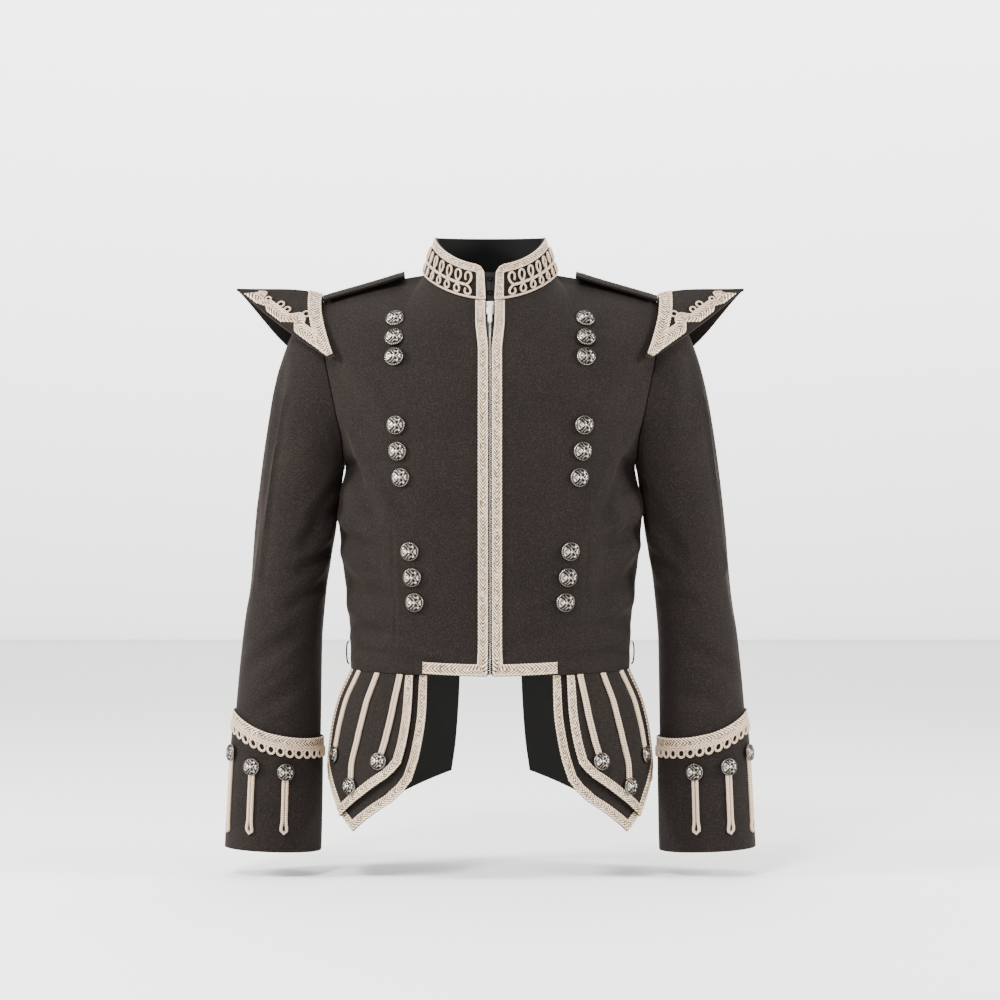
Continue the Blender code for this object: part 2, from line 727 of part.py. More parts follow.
def make_flap(name, kind, side, inset):
    bars = FLAP_BARS if kind == "over" else ()
    half_bar = BAR_WIDTH / 2 / 110
    # Share across at the foot, what lies there, how much less the share is at the hem, and the
    # height at which a bar ends
    columns = [(0, "border", 0, 0), (0.105, "border", 0, 0), (0.115, "plain", 0, 0),
               (FLAP_TIPS[kind], "plain", 0.06 if bars else 0, 0)]
    for _, share, lean, end, _ in bars:
        columns += [(share - half_bar - 0.01, "plain", lean, 0),
                    (share - half_bar, "bar", lean, end), (share + half_bar, "bar", lean, end),
                    (share + half_bar + 0.01, "plain", lean, 0)]
    if not bars:
        columns += [(0.3, "plain", 0, 0), (0.7, "plain", 0, 0)]
    columns = sorted(columns + [(0.885, "plain", 0, 0), (0.895, "border", 0, 0),
                                (1, "border", 0, 0)])
    levels = ((0, 0), (0.25, 0), (0.5, 0), (0.75, 0), (1, 0), (1, 1))
    rows, heights = [], []
    for level, border in levels:
        line, raises = [], []
        for foot_share, kept, lean, end in columns:
            share = foot_share - lean * (1 - level)
            top = hem_height(share, kind)
            foot = FLAP_HEMS[kind].at(share).height
            low = foot + FLAP_BORDER * 1.15
            height = foot if border else top + (low - top) * level
            line.append(mirror(flap_point(kind, share, height, inset), side))
            on_bar = kept == "bar" and height > end - 2
            raises.append(BRAID if kept == "border" or on_bar or border or level == 1 else 0.0)
        rows.append(line)
        heights.append(raises)

    def turn(i, j, normal):
        return Vector((normal.x, normal.y, 0)) if i == 0 else normal
    turned_side = side if kind == "rear" else -side
    wall(name, rows, FLAP_CLOTH, "black_wool", turned_side, raised=lambda i, j: heights[i][j],
         turn=turn)


def make_flaps():
    for name, side in SIDES:
        make_flap("flap_over_" + name, "over", side, 0.0)
        make_flap("flap_under_" + name, "under", side, 5.5)
        make_flap("flap_rear_" + name, "rear", side, 0.0)


# Braid down the front
def make_front_braid():
    heights = between(-31.5, -486, 19) + [-500.3]
    for name, side in SIDES:
        rows = []
        for level, z in enumerate(heights):
            line = []
            for column in range(6):
                start = OPENING.at(z).half + 0.6
                if column < 2:
                    x = start + FRONT_BAND * column
                else:
                    x = start + FRONT_BAND + (HEM_BAND_END - start - FRONT_BAND) * (column - 1) / 4
                height = z + 2.6 * (x / HEM_BAND_END) ** 2 if level >= len(heights) - 2 else z
                point, _ = front_place(x, height)
                line.append(mirror(point, side))
            rows.append(line)
        lowest = len(heights) - 2
        wall("front_braid_" + name, rows, BRAID, "silver_braid", -side, lift=LAID_GAP,
             kept=lambda i, j: i == lowest or j == 0)


# Buttons: turned domes with a rim, set on the cloth along its outward direction
def button(name, foot, direction, radius, segments=12):
    profile = ((0.96, 0.0), (1.0, 0.10), (0.80, 0.28), (0.42, 0.42))
    turned = direction.to_track_quat("Z", "Y")
    points, faces = [], []
    for spread, rise in profile:
        for step in range(segments):
            angle = math.tau * step / segments
            spot = Vector((math.cos(angle) * spread, math.sin(angle) * spread, rise)) * radius
            points.append(foot + turned @ spot)
    for ring in range(len(profile) - 1):
        for step in range(segments):
            ahead = (step + 1) % segments
            low, high = ring * segments, (ring + 1) * segments
            faces.append([low + step, low + ahead, high + ahead, high + step])
    top = foot + turned @ Vector((0, 0, 0.46 * radius))
    points.append(top)
    last = (len(profile) - 1) * segments
    for step in range(segments):
        faces.append([last + step, last + (step + 1) % segments, len(points) - 1])
    faces.append(list(range(segments))[::-1])
    return add_object(name, points, faces, "nickel")


def make_buttons():
    for name, side in SIDES:
        for group, seat, places in FRONT_BUTTONS:
            for number, (x, z) in enumerate(places, 1):
                point, normal = front_place(x, z)
                button(f"button_{group}_{number}_{name}",
                       mirror(point + normal * seat, side), mirror(normal, side),
                       BUTTON_RADIUS)
        for group, share, _, z, seat in FLAP_BARS:
            point = flap_point("over", share, z)
            across = flap_point("over", share + 0.01, z) - point
            up = flap_point("over", share, z + 1) - point
            normal = across.cross(up).normalized()
            button(f"button_flap_{group}_{name}",
                   mirror(point + normal * seat, side), mirror(normal, side),
                   CUFF_BUTTON_RADIUS)
        for group, angle, drop in CUFF_BARS:
            z = cuff_top(angle) - drop
            point = cuff_point(angle, z)
            across = cuff_point(angle + 1, z) - cuff_point(angle - 1, z)
            up = cuff_point(angle, z + 2) - cuff_point(angle, z - 2)
            normal = up.cross(across).normalized()
            button(f"button_cuff_{group}_{name}",
                   mirror(point + normal * (LAID_GAP + BRAID + 0.6), side), mirror(normal, side),
                   CUFF_BUTTON_RADIUS)


# The zip
def centre_front(z):
    """The front's outer face at the centre, as a depth in front of the origin."""
    place = on_front(OPENING.at(z).half, z)[1]
    return BODY.at(place).front_y


SLIDER_TOP, SLIDER_FOOT = -31.0, -50.0


def make_zip():
    rows = []
    for z in between(SLIDER_FOOT - 1.0, -499, 14):
        y = -(centre_front(z) - CLOTH - 1.6)
        rows.append([Vector((x, y, z)) for x in (-12, -1.6, -1.2, 1.2, 1.6, 12)])
    wall("zip_tape", rows, 0.8, "zip_tape", -1,
         raised=lambda i, j: 2.6 if j in (2, 3) else 0.0)
    rows = []
    for z in between(6, -496, 14):
        neck_share = min(max((z + 60) / 66, 0), 1)
        inside = 5.4 + 2.2 * neck_share
        depth = centre_front(z) if z < -31 else 86 - 10 * (z + 31) / 45
        rows.append([Vector((x, -(depth - inside - 0.004 * x * x), z)) for x in (-15, 0, 15)])
    wall("zip_guard", rows, 1.4, "black_lining", -1)
    make_slider()


def box(name, size, centre, look, bevel=0.0):
    made_mesh = bmesh.new()
    bmesh.ops.create_cube(made_mesh, size=1)
    bmesh.ops.scale(made_mesh, vec=Vector(size) * MM, verts=made_mesh.verts)
    bmesh.ops.translate(made_mesh, vec=Vector(centre) * MM, verts=made_mesh.verts)
    if bevel:
        bmesh.ops.bevel(made_mesh, geom=list(made_mesh.edges), offset=bevel * MM, segments=2,
                        profile=0.6, affect="EDGES")
    mesh = bpy.data.meshes.new(name)
    made_mesh.to_mesh(mesh)
    made_mesh.free()
    mesh.materials.append(material(look, name))
    made = bpy.data.objects.new(name, mesh)
    bpy.context.collection.objects.link(made)
    return made


def rod(name, radius, length, centre, look, segments=16):
    """A rod along X."""
    made_mesh = bmesh.new()
    bmesh.ops.create_cone(made_mesh, cap_ends=True, segments=segments, radius1=radius * MM,
                          radius2=radius * MM, depth=length * MM)
    bmesh.ops.rotate(made_mesh, matrix=Matrix.Rotation(math.pi / 2, 3, "Y"),
                     verts=made_mesh.verts)
    bmesh.ops.translate(made_mesh, vec=Vector(centre) * MM, verts=made_mesh.verts)
    mesh = bpy.data.meshes.new(name)
    made_mesh.to_mesh(mesh)
    made_mesh.free()
    mesh.materials.append(material(look, name))
    made = bpy.data.objects.new(name, mesh)
    bpy.context.collection.objects.link(made)
    return made


def join_with(target, tool, operation):
    """Cut or join another shape, which is then only a guide."""
    change = target.modifiers.new(operation.lower() + "_" + tool.name, "BOOLEAN")
    change.operation = operation
    change.object = tool
    change.solver = "EXACT"
    tool.hide_render = True
    tool.display_type = "WIRE"


def make_slider():
    """The slider in the opening below the collar, and the tab that hangs from its pin."""
    middle = (SLIDER_TOP + SLIDER_FOOT) / 2
    top_y, foot_y = centre_front(SLIDER_TOP), centre_front(SLIDER_FOOT)
    lean = math.atan2(foot_y - top_y, SLIDER_TOP - SLIDER_FOOT)
    place = bpy.data.objects.new("slider_place", None)
    place.location = Vector((0, -(top_y + foot_y) / 2 - 0.6, middle)) * MM
    place.rotation_euler = (-lean, 0, 0)
    bpy.context.collection.objects.link(place)
    slider = box("zip_slider", (9.0, 4.4, 18.0), (0, 0, 0), "zip_metal", 1.2)
    pin_y, pin_z = -5.0, 3.0
    for number, x in enumerate((-3.6, 3.6)):
        ear = box(f"slider_ear_{number}", (1.2, 6.0, 5.0), (x, pin_y + 1.6, pin_z), "zip_metal")
        ear.parent = place
        join_with(slider, ear, "UNION")
    pin = rod("slider_pin", 0.8, 7.6, (0, pin_y, pin_z), "zip_metal", 12)
    pin.parent = place
    join_with(slider, pin, "UNION")
    slider.parent = place
    pull = rod("zip_pull", 1.9, 5.2, (0, 0, 0), "zip_metal")
    blade = box("pull_blade", (5.2, 1.4, 25.0), (0, -0.9, -13.0), "zip_metal", 0.5)
    bore = rod("pull_bore", 1.2, 9.0, (0, 0, 0), "zip_metal", 16)
    for guide in (blade, bore):
        guide.parent = pull
    join_with(pull, blade, "UNION")
    join_with(pull, bore, "DIFFERENCE")
    pull.parent = place
    pull.location = Vector((0, pin_y, pin_z)) * MM


# Belt loops at the side seams
def make_belt_loops():
    low, high, half_width = -492.0, -462.0, 4.0
    for name, side in SIDES:
        rows = []
        for along in between(0, 1, 6):
            z = low + (high - low) * along
            edge = BODY.at(min(max((z + 495) / 41, 0), 1)).edge_x
            stand = 4.0 * math.sin(math.pi * along) ** 0.3 + 1.6 + 0.6
            rows.append([mirror(Vector((edge + stand, y, z)), side)
                         for y in (-half_width, half_width)])
        wall("belt_loop_" + name, rows, 1.5, "black_wool", side)


for old in list(bpy.data.objects):
    bpy.data.objects.remove(old)
make_body()
make_collar()
make_sleeves()
make_cuffs()
make_wings()
make_straps()
make_flaps()
make_front_braid()
make_zip()
make_belt_loops()
make_buttons()
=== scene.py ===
import bisect
import math
from functools import lru_cache
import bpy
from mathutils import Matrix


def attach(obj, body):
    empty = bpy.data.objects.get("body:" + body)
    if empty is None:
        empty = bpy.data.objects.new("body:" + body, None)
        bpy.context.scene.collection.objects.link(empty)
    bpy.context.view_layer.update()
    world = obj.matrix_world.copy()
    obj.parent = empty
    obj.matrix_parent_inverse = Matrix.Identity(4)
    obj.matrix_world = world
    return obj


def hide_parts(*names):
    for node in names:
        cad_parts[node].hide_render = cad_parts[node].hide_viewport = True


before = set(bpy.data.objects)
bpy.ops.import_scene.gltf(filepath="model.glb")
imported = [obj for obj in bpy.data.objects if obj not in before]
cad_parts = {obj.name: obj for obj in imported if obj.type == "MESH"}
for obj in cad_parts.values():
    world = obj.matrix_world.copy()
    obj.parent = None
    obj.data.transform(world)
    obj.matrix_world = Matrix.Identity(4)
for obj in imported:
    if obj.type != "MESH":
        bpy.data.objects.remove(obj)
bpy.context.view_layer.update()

from types import SimpleNamespace

import bpy
from mathutils import Vector

MM = 0.001
SIDES = (("left", 1), ("right", -1))
BODY_NAME = "doublet"

# Fronts and back
# Black wool barathea with a plain black lining, cut close to the body. The fronts meet at the
# zip, and join the back at the side and shoulder seams, which show as fine sunk lines.


class Sections:
    """Rows of named columns, read smoothly at any place between the rows."""

    def __init__(self, columns, *rows):
        self.columns = columns
        self.rows = rows
        self.known = {}

    def step(self, row, column):
        low, high = self.rows[row], self.rows[row + 1]
        return (high[column] - low[column]) / (high[0] - low[0])

    def slope(self, row, column):
        last = len(self.rows) - 1
        before = self.step(max(row - 1, 0), column)
        after = self.step(min(row, last - 1), column)
        return 0.0 if before * after <= 0 else 2 * before * after / (before + after)

    def at(self, place):
        if place in self.known:
            return self.known[place]
        row = 0
        while row < len(self.rows) - 2 and place > self.rows[row + 1][0]:
            row += 1
        low, high = self.rows[row], self.rows[row + 1]
        span = high[0] - low[0]
        t = min(max((place - low[0]) / span, 0.0), 1.0)
        values = {}
        for column, name in enumerate(self.columns):
            values[name] = ((2 * t ** 3 - 3 * t * t + 1) * low[column]
                            + (t ** 3 - 2 * t * t + t) * self.slope(row, column) * span
                            + (3 * t * t - 2 * t ** 3) * high[column]
                            + (t ** 3 - t * t) * self.slope(row + 1, column) * span)
        self.known[place] = SimpleNamespace(**values)
        return self.known[place]


BODY = Sections(
    ("place", "edge_x", "edge_z", "front_z", "front_y", "front_edge_y",
     "back_z", "back_y", "back_edge_y", "sweep", "inward", "rise"),
    (0, 179, -495, -501, 112, 0, -499, 97, 0, 90, 0, 0),
    (1, 180, -454, -456, 108, 0, -454, 92, 0, 90, 0, 0),
    (2, 184, -408, -410, 110, 0, -408, 94, 0, 90, 0, 0),
    (3, 191.5, -345, -347, 117, 0, -345, 101, 0, 90, 0, 0),
    (4, 195, -300, -300, 123, 0, -300, 110, 0, 90, 0, 0),
    (5, 190, -262, -262, 126, 0, -262, 115, 0, 90, 0, 0),
    (6, 186.5, -240, -240, 126.5, 0, -240, 118, 0, 90, 0, 0),
    (7, 187.2, -228, -222, 126, 30, -218, 119.5, 28, 82, 0, 0),
    (8, 189.5, -200, -195, 125, 50, -188, 120, 46, 75, 0, 0),
    (9, 196, -168, -165, 122, 61, -155, 119.5, 54, 70, 0, 0),
    (10, 202.5, -136, -137, 118.5, 63, -121, 117, 56, 66, 0.02, 0.03),
    (11, 209, -103, -109, 113, 59, -88, 112, 52, 62, 0.07, 0.14),
    (12, 212.5, -71, -82, 106, 47, -57, 104, 42, 60, 0.22, 0.36),
    (13, 214.5, -43, -56, 97.5, 28, -26.5, 93, 26, 58, 0.52, 0.7),
    (14, 214, -21, -30, 86, 0, 12, 70, 0, 56, 1, 1))
OPENING = Sections(
    ("height", "half"),
    (-501, 3.0), (-480, 2.1), (-440, 1.8), (-85, 1.8), (-56, 5.3), (-30, 5.3))
ARMPIT, TOP = 6, 14
RING_POWER = 2.4
SHOULDER_SHARE = 0.42
NECK_HALF_WIDTH, NECK_FRONT, NECK_BACK = 85.0, 86.0, 70.0
NECK_FRONT_Z, NECK_SIDE_Z, NECK_BACK_Z = -30.0, 8.0, 12.0
SHOULDER_END = Vector((214.0, 0.0, -21.0))
SHOULDER_BOW = 2.5
CLOTH = 2.2
SEAM_GAP = 0.2

# Creases: both ends (distance from the centre, height), half-width, depth. The first three of
# each are the long ones from the armpit and above the waist. All are deepened by CREASE_DEPTH.
CREASE_DEPTH = 1.8
CREASES = {
    "front_left": (
        ((176, -246), (146, -306), 15, 5.6), ((194, -316), (148, -338), 11, 4.2),
        ((190, -368), (142, -410), 12, 4.0), ((190, -206), (166, -250), 9, 3.0),
        ((182, -258), (172, -330), 9, 2.6), ((184, -430), (124, -448), 11, 2.4),
        ((60, -452), (20, -470), 10, 0.9), ((152, -350), (130, -430), 12, 1.6),
        ((196, -120), (160, -170), 13, 2.0), ((150, -60), (100, -100), 16, 1.2),
        ((172, -474), (78, -482), 7, 1.5)),
    "front_right": (
        ((176, -250), (150, -298), 14, 5.2), ((194, -324), (156, -344), 10, 4.0),
        ((190, -378), (148, -408), 13, 4.2), ((188, -200), (170, -262), 8, 3.0),
        ((184, -288), (166, -316), 9, 2.6), ((96, -482), (56, -486), 6, 1.4),
        ((184, -438), (134, -454), 10, 2.4), ((146, -356), (128, -420), 12, 1.6),
        ((196, -128), (156, -182), 14, 2.2), ((146, -70), (96, -112), 15, 1.3),
        ((170, -470), (92, -480), 8, 1.7)),
    "back": (
        ((188, -232), (126, -282), 20, 5.0), ((188, -335), (94, -358), 15, 3.8),
        ((186, -402), (108, -424), 14, 3.4), ((-188, -236), (-132, -274), 18, 4.8),
        ((-188, -342), (-86, -362), 14, 3.8), ((-186, -410), (-100, -428), 14, 3.2),
        ((60, -384), (-52, -394), 14, 2.4), ((88, -440), (10, -454), 12, 2.2),
        ((-30, -446), (-96, -458), 12, 2.0), ((150, -110), (96, -180), 20, 2.2),
        ((-148, -116), (-92, -188), 20, 2.2), ((40, 0), (-36, -2), 10, 0.8))}
WAIST_DART = ((122, -330), (117, -494), 2.2, 1.2)
# The centre-back seam, and the side-back seams that curve from the waist into the armholes
BACK_SEAMS = (((0, 6), (0, -640), 2.0, 1.8),) + tuple(
    ((side * x, z), (side * x_end, z_end), 2.4, 1.8) for _, side in SIDES
    for x, z, x_end, z_end in ((72, -300, 84, -640), (92, -236, 73, -296), (160, -172, 95, -233)))


# The ridge beside a crease: its share of the depth, and its place and width in half-widths
RIDGE_HEIGHT, RIDGE_PLACE, RIDGE_WIDTH = 0.4, 1.7, 0.7


def crease_depth(table, a, b):
    """How far a table of creases draws the cloth in at a place, with a low ridge beside each."""
    depth = 0.0
    for start, end, width, deepest in table:
        run_a, run_b = end[0] - start[0], end[1] - start[1]
        length = math.hypot(run_a, run_b)
        off_a, off_b = a - start[0], b - start[1]
        along = (off_a * run_a + off_b * run_b) / length
        across = abs(off_a * run_b - off_b * run_a) / length / width
        past = max(-along, along - length * 0.8, 0) / (1.6 * width)
        if across < 3.5 and past < 2.5:
            fade = math.exp(-past ** 2)
            ridge = RIDGE_HEIGHT * math.exp(-((across - RIDGE_PLACE) / RIDGE_WIDTH) ** 2)
            depth += deepest * fade * (math.exp(-across ** 2) - ridge)
    return depth


def power(value, exponent):
    return math.copysign(abs(value) ** exponent, value)


def mirror(point, side):
    return Vector((point.x * side, point.y, point.z))


def neck_point(angle, opening=0.0):
    """The neck's edge, in degrees round from the centre front at 0 to the centre back at 180."""
    sine, cosine = math.sin(math.radians(angle)), math.cos(math.radians(angle))
    x = opening + (NECK_HALF_WIDTH - opening) * sine
    if cosine > 0:
        z = NECK_SIDE_Z + (NECK_FRONT_Z - NECK_SIDE_Z) * cosine ** 1.5
        return Vector((x, -NECK_FRONT * cosine, z))
    return Vector((x, -NECK_BACK * cosine, NECK_SIDE_Z - (NECK_BACK_Z - NECK_SIDE_Z) * cosine))


def shoulder_seam(along):
    point = neck_point(90).lerp(SHOULDER_END, along)
    point.z += SHOULDER_BOW * math.sin(math.pi * along)
    return point


def section_point(part, share, row, opening):
    """A point of a front's or half back's rounded section, from the centre at 0 to its edge."""
    depth, edge, height, facing = (
        (row.front_y, row.front_edge_y, row.front_z, -1) if part == "front" else
        (row.back_y, row.back_edge_y, row.back_z, 1))
    sweep = math.radians(row.sweep)
    exponent = 2 / RING_POWER
    x_share = math.sin(sweep * share) ** exponent / math.sin(sweep) ** exponent
    y_share = ((1 - power(math.cos(sweep * share), exponent))
               / (1 - power(math.cos(sweep), exponent)))
    return Vector((opening + (row.edge_x - opening) * x_share,
                   facing * (depth - (depth - edge) * y_share),
                   height + (row.edge_z - height) * share))


def body_point(part, share, place):
    """The smooth outer face of a front or of half the back, before its creases."""
    row, top = BODY.at(place), BODY.at(TOP)
    opening = OPENING.at(row.front_z).half if part == "front" else 0.0
    top_opening = OPENING.at(top.front_z).half if part == "front" else 0.0
    if share <= SHOULDER_SHARE:
        turned = 90 * share / SHOULDER_SHARE
        edge = neck_point(turned if part == "front" else 180 - turned, top_opening)
    else:
        edge = shoulder_seam((share - SHOULDER_SHARE) / (1 - SHOULDER_SHARE))
    shift = edge - section_point(part, share, top, top_opening)
    return section_point(part, share, row, opening) + Vector(
        (shift.x * row.inward, shift.y * row.inward, shift.z * row.rise))


def spread(low, high, steps, near_low=(), near_high=()):
    """Even steps, with extra ones close to either end."""
    even = [low + (high - low) * step / steps for step in range(steps + 1)]
    ends = [low + gap for gap in near_low] + [high - gap for gap in near_high]
    far = [value for value in even[1:-1]
           if all(abs(value - end) > 0.4 * (high - low) / steps for end in ends)]
    return sorted([low, high] + far + ends)


def to_linear(colour):
    """An sRGB hex colour as linear values."""
    parts = [int(colour[place:place + 2], 16) / 255 for place in (1, 3, 5)]
    return [part / 12.92 if part <= 0.04045 else ((part + 0.055) / 1.055) ** 2.4
            for part in parts] + [1.0]


def connect(tree, node, **inputs):
    """Set or link a node's inputs, by name, or by _ and a number where names are shared."""
    for name, value in inputs.items():
        socket = node.inputs[int(name[1:]) if name[0] == "_" else name.replace("_", " ")]
        if isinstance(value, bpy.types.NodeSocket):
            tree.links.new(value, socket)
        else:
            socket.default_value = value


def add_node(tree, kind, settings=None, pick=0, **inputs):
    """Add a node, set it up, set or link its inputs and give back one of its outputs."""
    node = tree.nodes.new(("ShaderNode" if tree.type == "SHADER" else "GeometryNode") + kind)
    for name, value in (settings or {}).items():
        if name == "stops":
            while len(node.color_ramp.elements) < len(value):
                node.color_ramp.elements.new(0.5)
            for element, (place, colour) in zip(node.color_ramp.elements, value):
                element.position, element.color = place, to_linear(colour)
        else:
            setattr(node, name, value)
    connect(tree, node, **inputs)
    return node.outputs[pick]


def new_material(name, **shader_inputs):
    """A material and its shader, with the shader's plain values set."""
    made = bpy.data.materials.new(name)
    made.use_nodes = True
    shader = made.node_tree.nodes["Principled BSDF"]
    connect(made.node_tree, shader, **shader_inputs)
    return made, made.node_tree, shader


def wool_material():
    """Black wool barathea: a fine broken weave 0.9 mm across, a soft nap, slight dust."""
    made, tree, shader = new_material(
        "black_wool_barathea", Roughness=0.88, Sheen_Weight=0.05, Sheen_Roughness=0.35,
        Sheen_Tint=to_linear("#c8a890"), Specular_IOR_Level=0.15)
    uv = add_node(tree, "UVMap", {"uv_map": "cloth"})
    place = add_node(tree, "TexCoord", pick="Object")
    weft = add_node(tree, "TexWave", {"bands_direction": "DIAGONAL"}, "Fac", Vector=uv,
                    Scale=360.0, Distortion=1.2, Detail=1.0)
    warp = add_node(tree, "TexWave", {"bands_direction": "X"}, "Fac", Vector=uv,
                    Scale=520.0, Distortion=0.8, Detail=1.0)
    weave = add_node(tree, "Math", {"operation": "MULTIPLY"}, _0=weft, _1=warp)
    nap = add_node(tree, "TexNoise", Vector=place, Scale=620.0, Detail=3.0)
    wear = add_node(tree, "TexNoise", Vector=place, Scale=14.0, Detail=5.0)
    tone = add_node(tree, "Math", {"operation": "MULTIPLY_ADD"}, _0=weave, _1=0.16, _2=nap)
    cloth = add_node(tree, "ValToRGB", {"stops": (
        (0.3, "#060504"), (0.55, "#120e0c"), (0.8, "#261e19"))}, Fac=tone)
    dusty = add_node(tree, "ValToRGB", {"stops": ((0.35, "#000000"), (0.8, "#080604"))}, Fac=wear)
    mixed = add_node(tree, "Mix", {"data_type": "RGBA", "blend_type": "ADD"}, 2,
                     _0=1.0, _6=cloth, _7=dusty)
    height = add_node(tree, "Math", {"operation": "ADD"}, _0=tone, _1=nap)
    bump = add_node(tree, "Bump", Strength=0.25, Distance=0.0004, Height=height)
    connect(tree, shader, Base_Color=mixed, Normal=bump)
    return made


def lining_material():
    """Plain black lining: smooth twill with a slight shine."""
    made, tree, shader = new_material("black_lining_twill", Roughness=0.62, Specular_IOR_Level=0.2)
    uv = add_node(tree, "UVMap", {"uv_map": "cloth"})
    twill = add_node(tree, "TexWave", {"bands_direction": "DIAGONAL"}, "Fac", Vector=uv,
                     Scale=420.0, Distortion=0.3)
    tone = add_node(tree, "ValToRGB", {"stops": ((0.0, "#070606"), (1.0, "#100f0e"))}, Fac=twill)
    bump = add_node(tree, "Bump", Strength=0.2, Distance=0.0002, Height=twill)
    connect(tree, shader, Base_Color=tone, Normal=bump)
    return made


WOOL = wool_material()
LINING = lining_material()


def new_object(name, data):
    made = bpy.data.objects.new(name, data)
    bpy.context.collection.objects.link(made)
    return made


def add_mesh(name, points, faces, materials, face_materials=None, uvs=None, sharp=50):
    """A finished piece from points in millimetres, faces, materials and a UV place a point."""
    mesh = bpy.data.meshes.new(name)
    mesh.from_pydata([point * MM for point in points], [], faces)
    for look in materials:
        mesh.materials.append(look)
    if face_materials:
        mesh.polygons.foreach_set("material_index", face_materials)
    if uvs:
        layer = mesh.uv_layers.new(name="cloth")
        corners = [0] * len(mesh.loops)
        mesh.loops.foreach_get("vertex_index", corners)
        flat = []
        for corner in corners:
            flat.extend(uvs[corner])
        layer.data.foreach_set("uv", flat)
    mesh.shade_smooth()
    mesh.set_sharp_from_angle(angle=math.radians(sharp))
    made = new_object(name, mesh)
    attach(made, BODY_NAME)
    return made


def grid_normals(rows, side):
    last, count = len(rows) - 1, len(rows[0])
    normals = []
    for i, row in enumerate(rows):
        above, below = rows[min(i + 1, last)], rows[max(i - 1, 0)]
        line = []
        for j in range(count):
            across = row[min(j + 1, count - 1)] - row[max(j - 1, 0)]
            line.append(across.cross(above[j] - below[j]).normalized() * side)
        normals.append(line)
    return normals


# How far a seam's edge rolls in, by steps from the edge
SEAM_SINK = {0: 0.8, 1: 0.3}


def shell(name, rows, thickness, side=1, dent=None, turn=None, dips=(), looks=None, lift=0.0,
          profile=None):
    """A closed sheet: outer points on the grid, inner points a thickness inside.

    dent(i, j) draws the whole sheet in. dips names the edges that roll in to a seam. turn
    corrects the direction in which an edge's points are moved, as where two panels meet. lift
    moves the sheet out, and profile gives each column's share across and height on top of that.
    """
    normals = grid_normals(rows, side)
    count, last = len(rows[0]), len(rows) - 1
    points, uvs = [], []
    along_v = [0.0] * count
    for i, row in enumerate(rows):
        along_u = 0.0
        if i:
            along_v = [length + (point - below).length
                       for length, point, below in zip(along_v, row, rows[i - 1])]
        for j, point in enumerate(row):
            if j:
                along_u += (point - row[j - 1]).length
            normal = normals[i][j]
            if turn:
                normal = turn(i, j, normal).normalized()
            drawn = dent(i, j) if dent else 0.0
            roll = max(SEAM_SINK.get(j, 0) if "first" in dips else 0,
                       SEAM_SINK.get(count - 1 - j, 0) if "last" in dips else 0,
                       SEAM_SINK.get(i, 0) if "bottom" in dips else 0)
            raised = profile[j][1] if profile else 0.0
            points.append(point + normal * (lift + raised - drawn - roll))
            points.append(point + normal * (lift - drawn - thickness))
            across = profile[j][0] if profile else along_u * MM
            uvs += [(across, along_v[count // 2 if profile else j] * MM)] * 2
    faces, kinds = [], []
    borders = []
    for i in range(last):
        for j in range(count - 1):
            corners = [i * count + j, i * count + j + 1, (i + 1) * count + j + 1,
                       (i + 1) * count + j]
            if side < 0:
                corners.reverse()
            faces.append([2 * corner for corner in corners])
            faces.append([2 * corner + 1 for corner in reversed(corners)])
            kinds += [0, 1]
            for start, end in zip(corners, corners[1:] + corners[:1]):
                low, high = divmod(start, count), divmod(end, count)
                if ((low[0] == high[0] and low[0] in (0, last))
                        or (low[1] == high[1] and low[1] in (0, count - 1))):
                    borders.append((start, end))
    for start, end in borders:
        faces.append([2 * end, 2 * start, 2 * start + 1, 2 * end + 1])
        kinds.append(0)
    return add_mesh(name, points, faces, looks or (WOOL, LINING), kinds, uvs)


def cloth_piece(node, rows, thickness, side, flat, held, area=None, **how):
    """The sheet that stands for a node, whose part it hides. flat, its size when it lies flat, in
    metres, is not used.
    """
    made = shell(node + "_cloth", rows, thickness, side, **how)
    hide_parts(node)


BODY_SHARES = spread(0, 1, 84, near_high=(0.004, 0.015))
BODY_PLACES = (spread(0, ARMPIT, 66, near_low=(0.03, 0.09)) +
               spread(ARMPIT, TOP, 54, near_high=(0.04, 0.13))[1:])


def body_gap(part, share, place, point):
    """Draw a point back from the seam it lies on."""
    facing = -1 if part == "front" else 1
    if share == 1 and place <= ARMPIT or place == TOP and share >= SHOULDER_SHARE:
        point.y += facing * SEAM_GAP
    if share == 1 and place > ARMPIT:
        point.x -= SEAM_GAP
    return point


def make_panel(name, part, shares, side, flat, area):
    rows = []
    for place in BODY_PLACES:
        line = []
        for share in shares:
            point = body_gap(part, abs(share), place, body_point(part, abs(share), place))
            line.append(mirror(point, side if part == "front" else math.copysign(1, share)))
        rows.append(line)
    table = CREASES[name if part == "front" else "back"]

    def dent(i, j):
        point = rows[i][j]
        x = point.x * side if part == "front" else point.x
        depth = CREASE_DEPTH * crease_depth(table, x, point.z)
        if part == "front":
            depth += crease_depth((WAIST_DART,), x, point.z)
        else:
            depth += crease_depth(BACK_SEAMS, x, point.z)
        share = abs(shares[j])
        near_top = (TOP - BODY_PLACES[i]) / 1.5
        return depth * (1 - share ** 10) * min(near_top, 1)

    def turn(i, j, normal):
        share, place = abs(shares[j]), BODY_PLACES[i]
        fixed = normal.copy()
        if part == "front" and share == 0:
            fixed.x = 0
        if share == 1 and place <= ARMPIT:
            fixed.y = fixed.z = 0
        if place == TOP and share >= SHOULDER_SHARE:
            fixed.y = 0
        return fixed
    cloth_piece(name, rows, CLOTH, side if part == "front" else -1, flat, "hung", area,
                dent=dent, turn=turn, dips=("last",) if part == "front" else ("first", "last"))


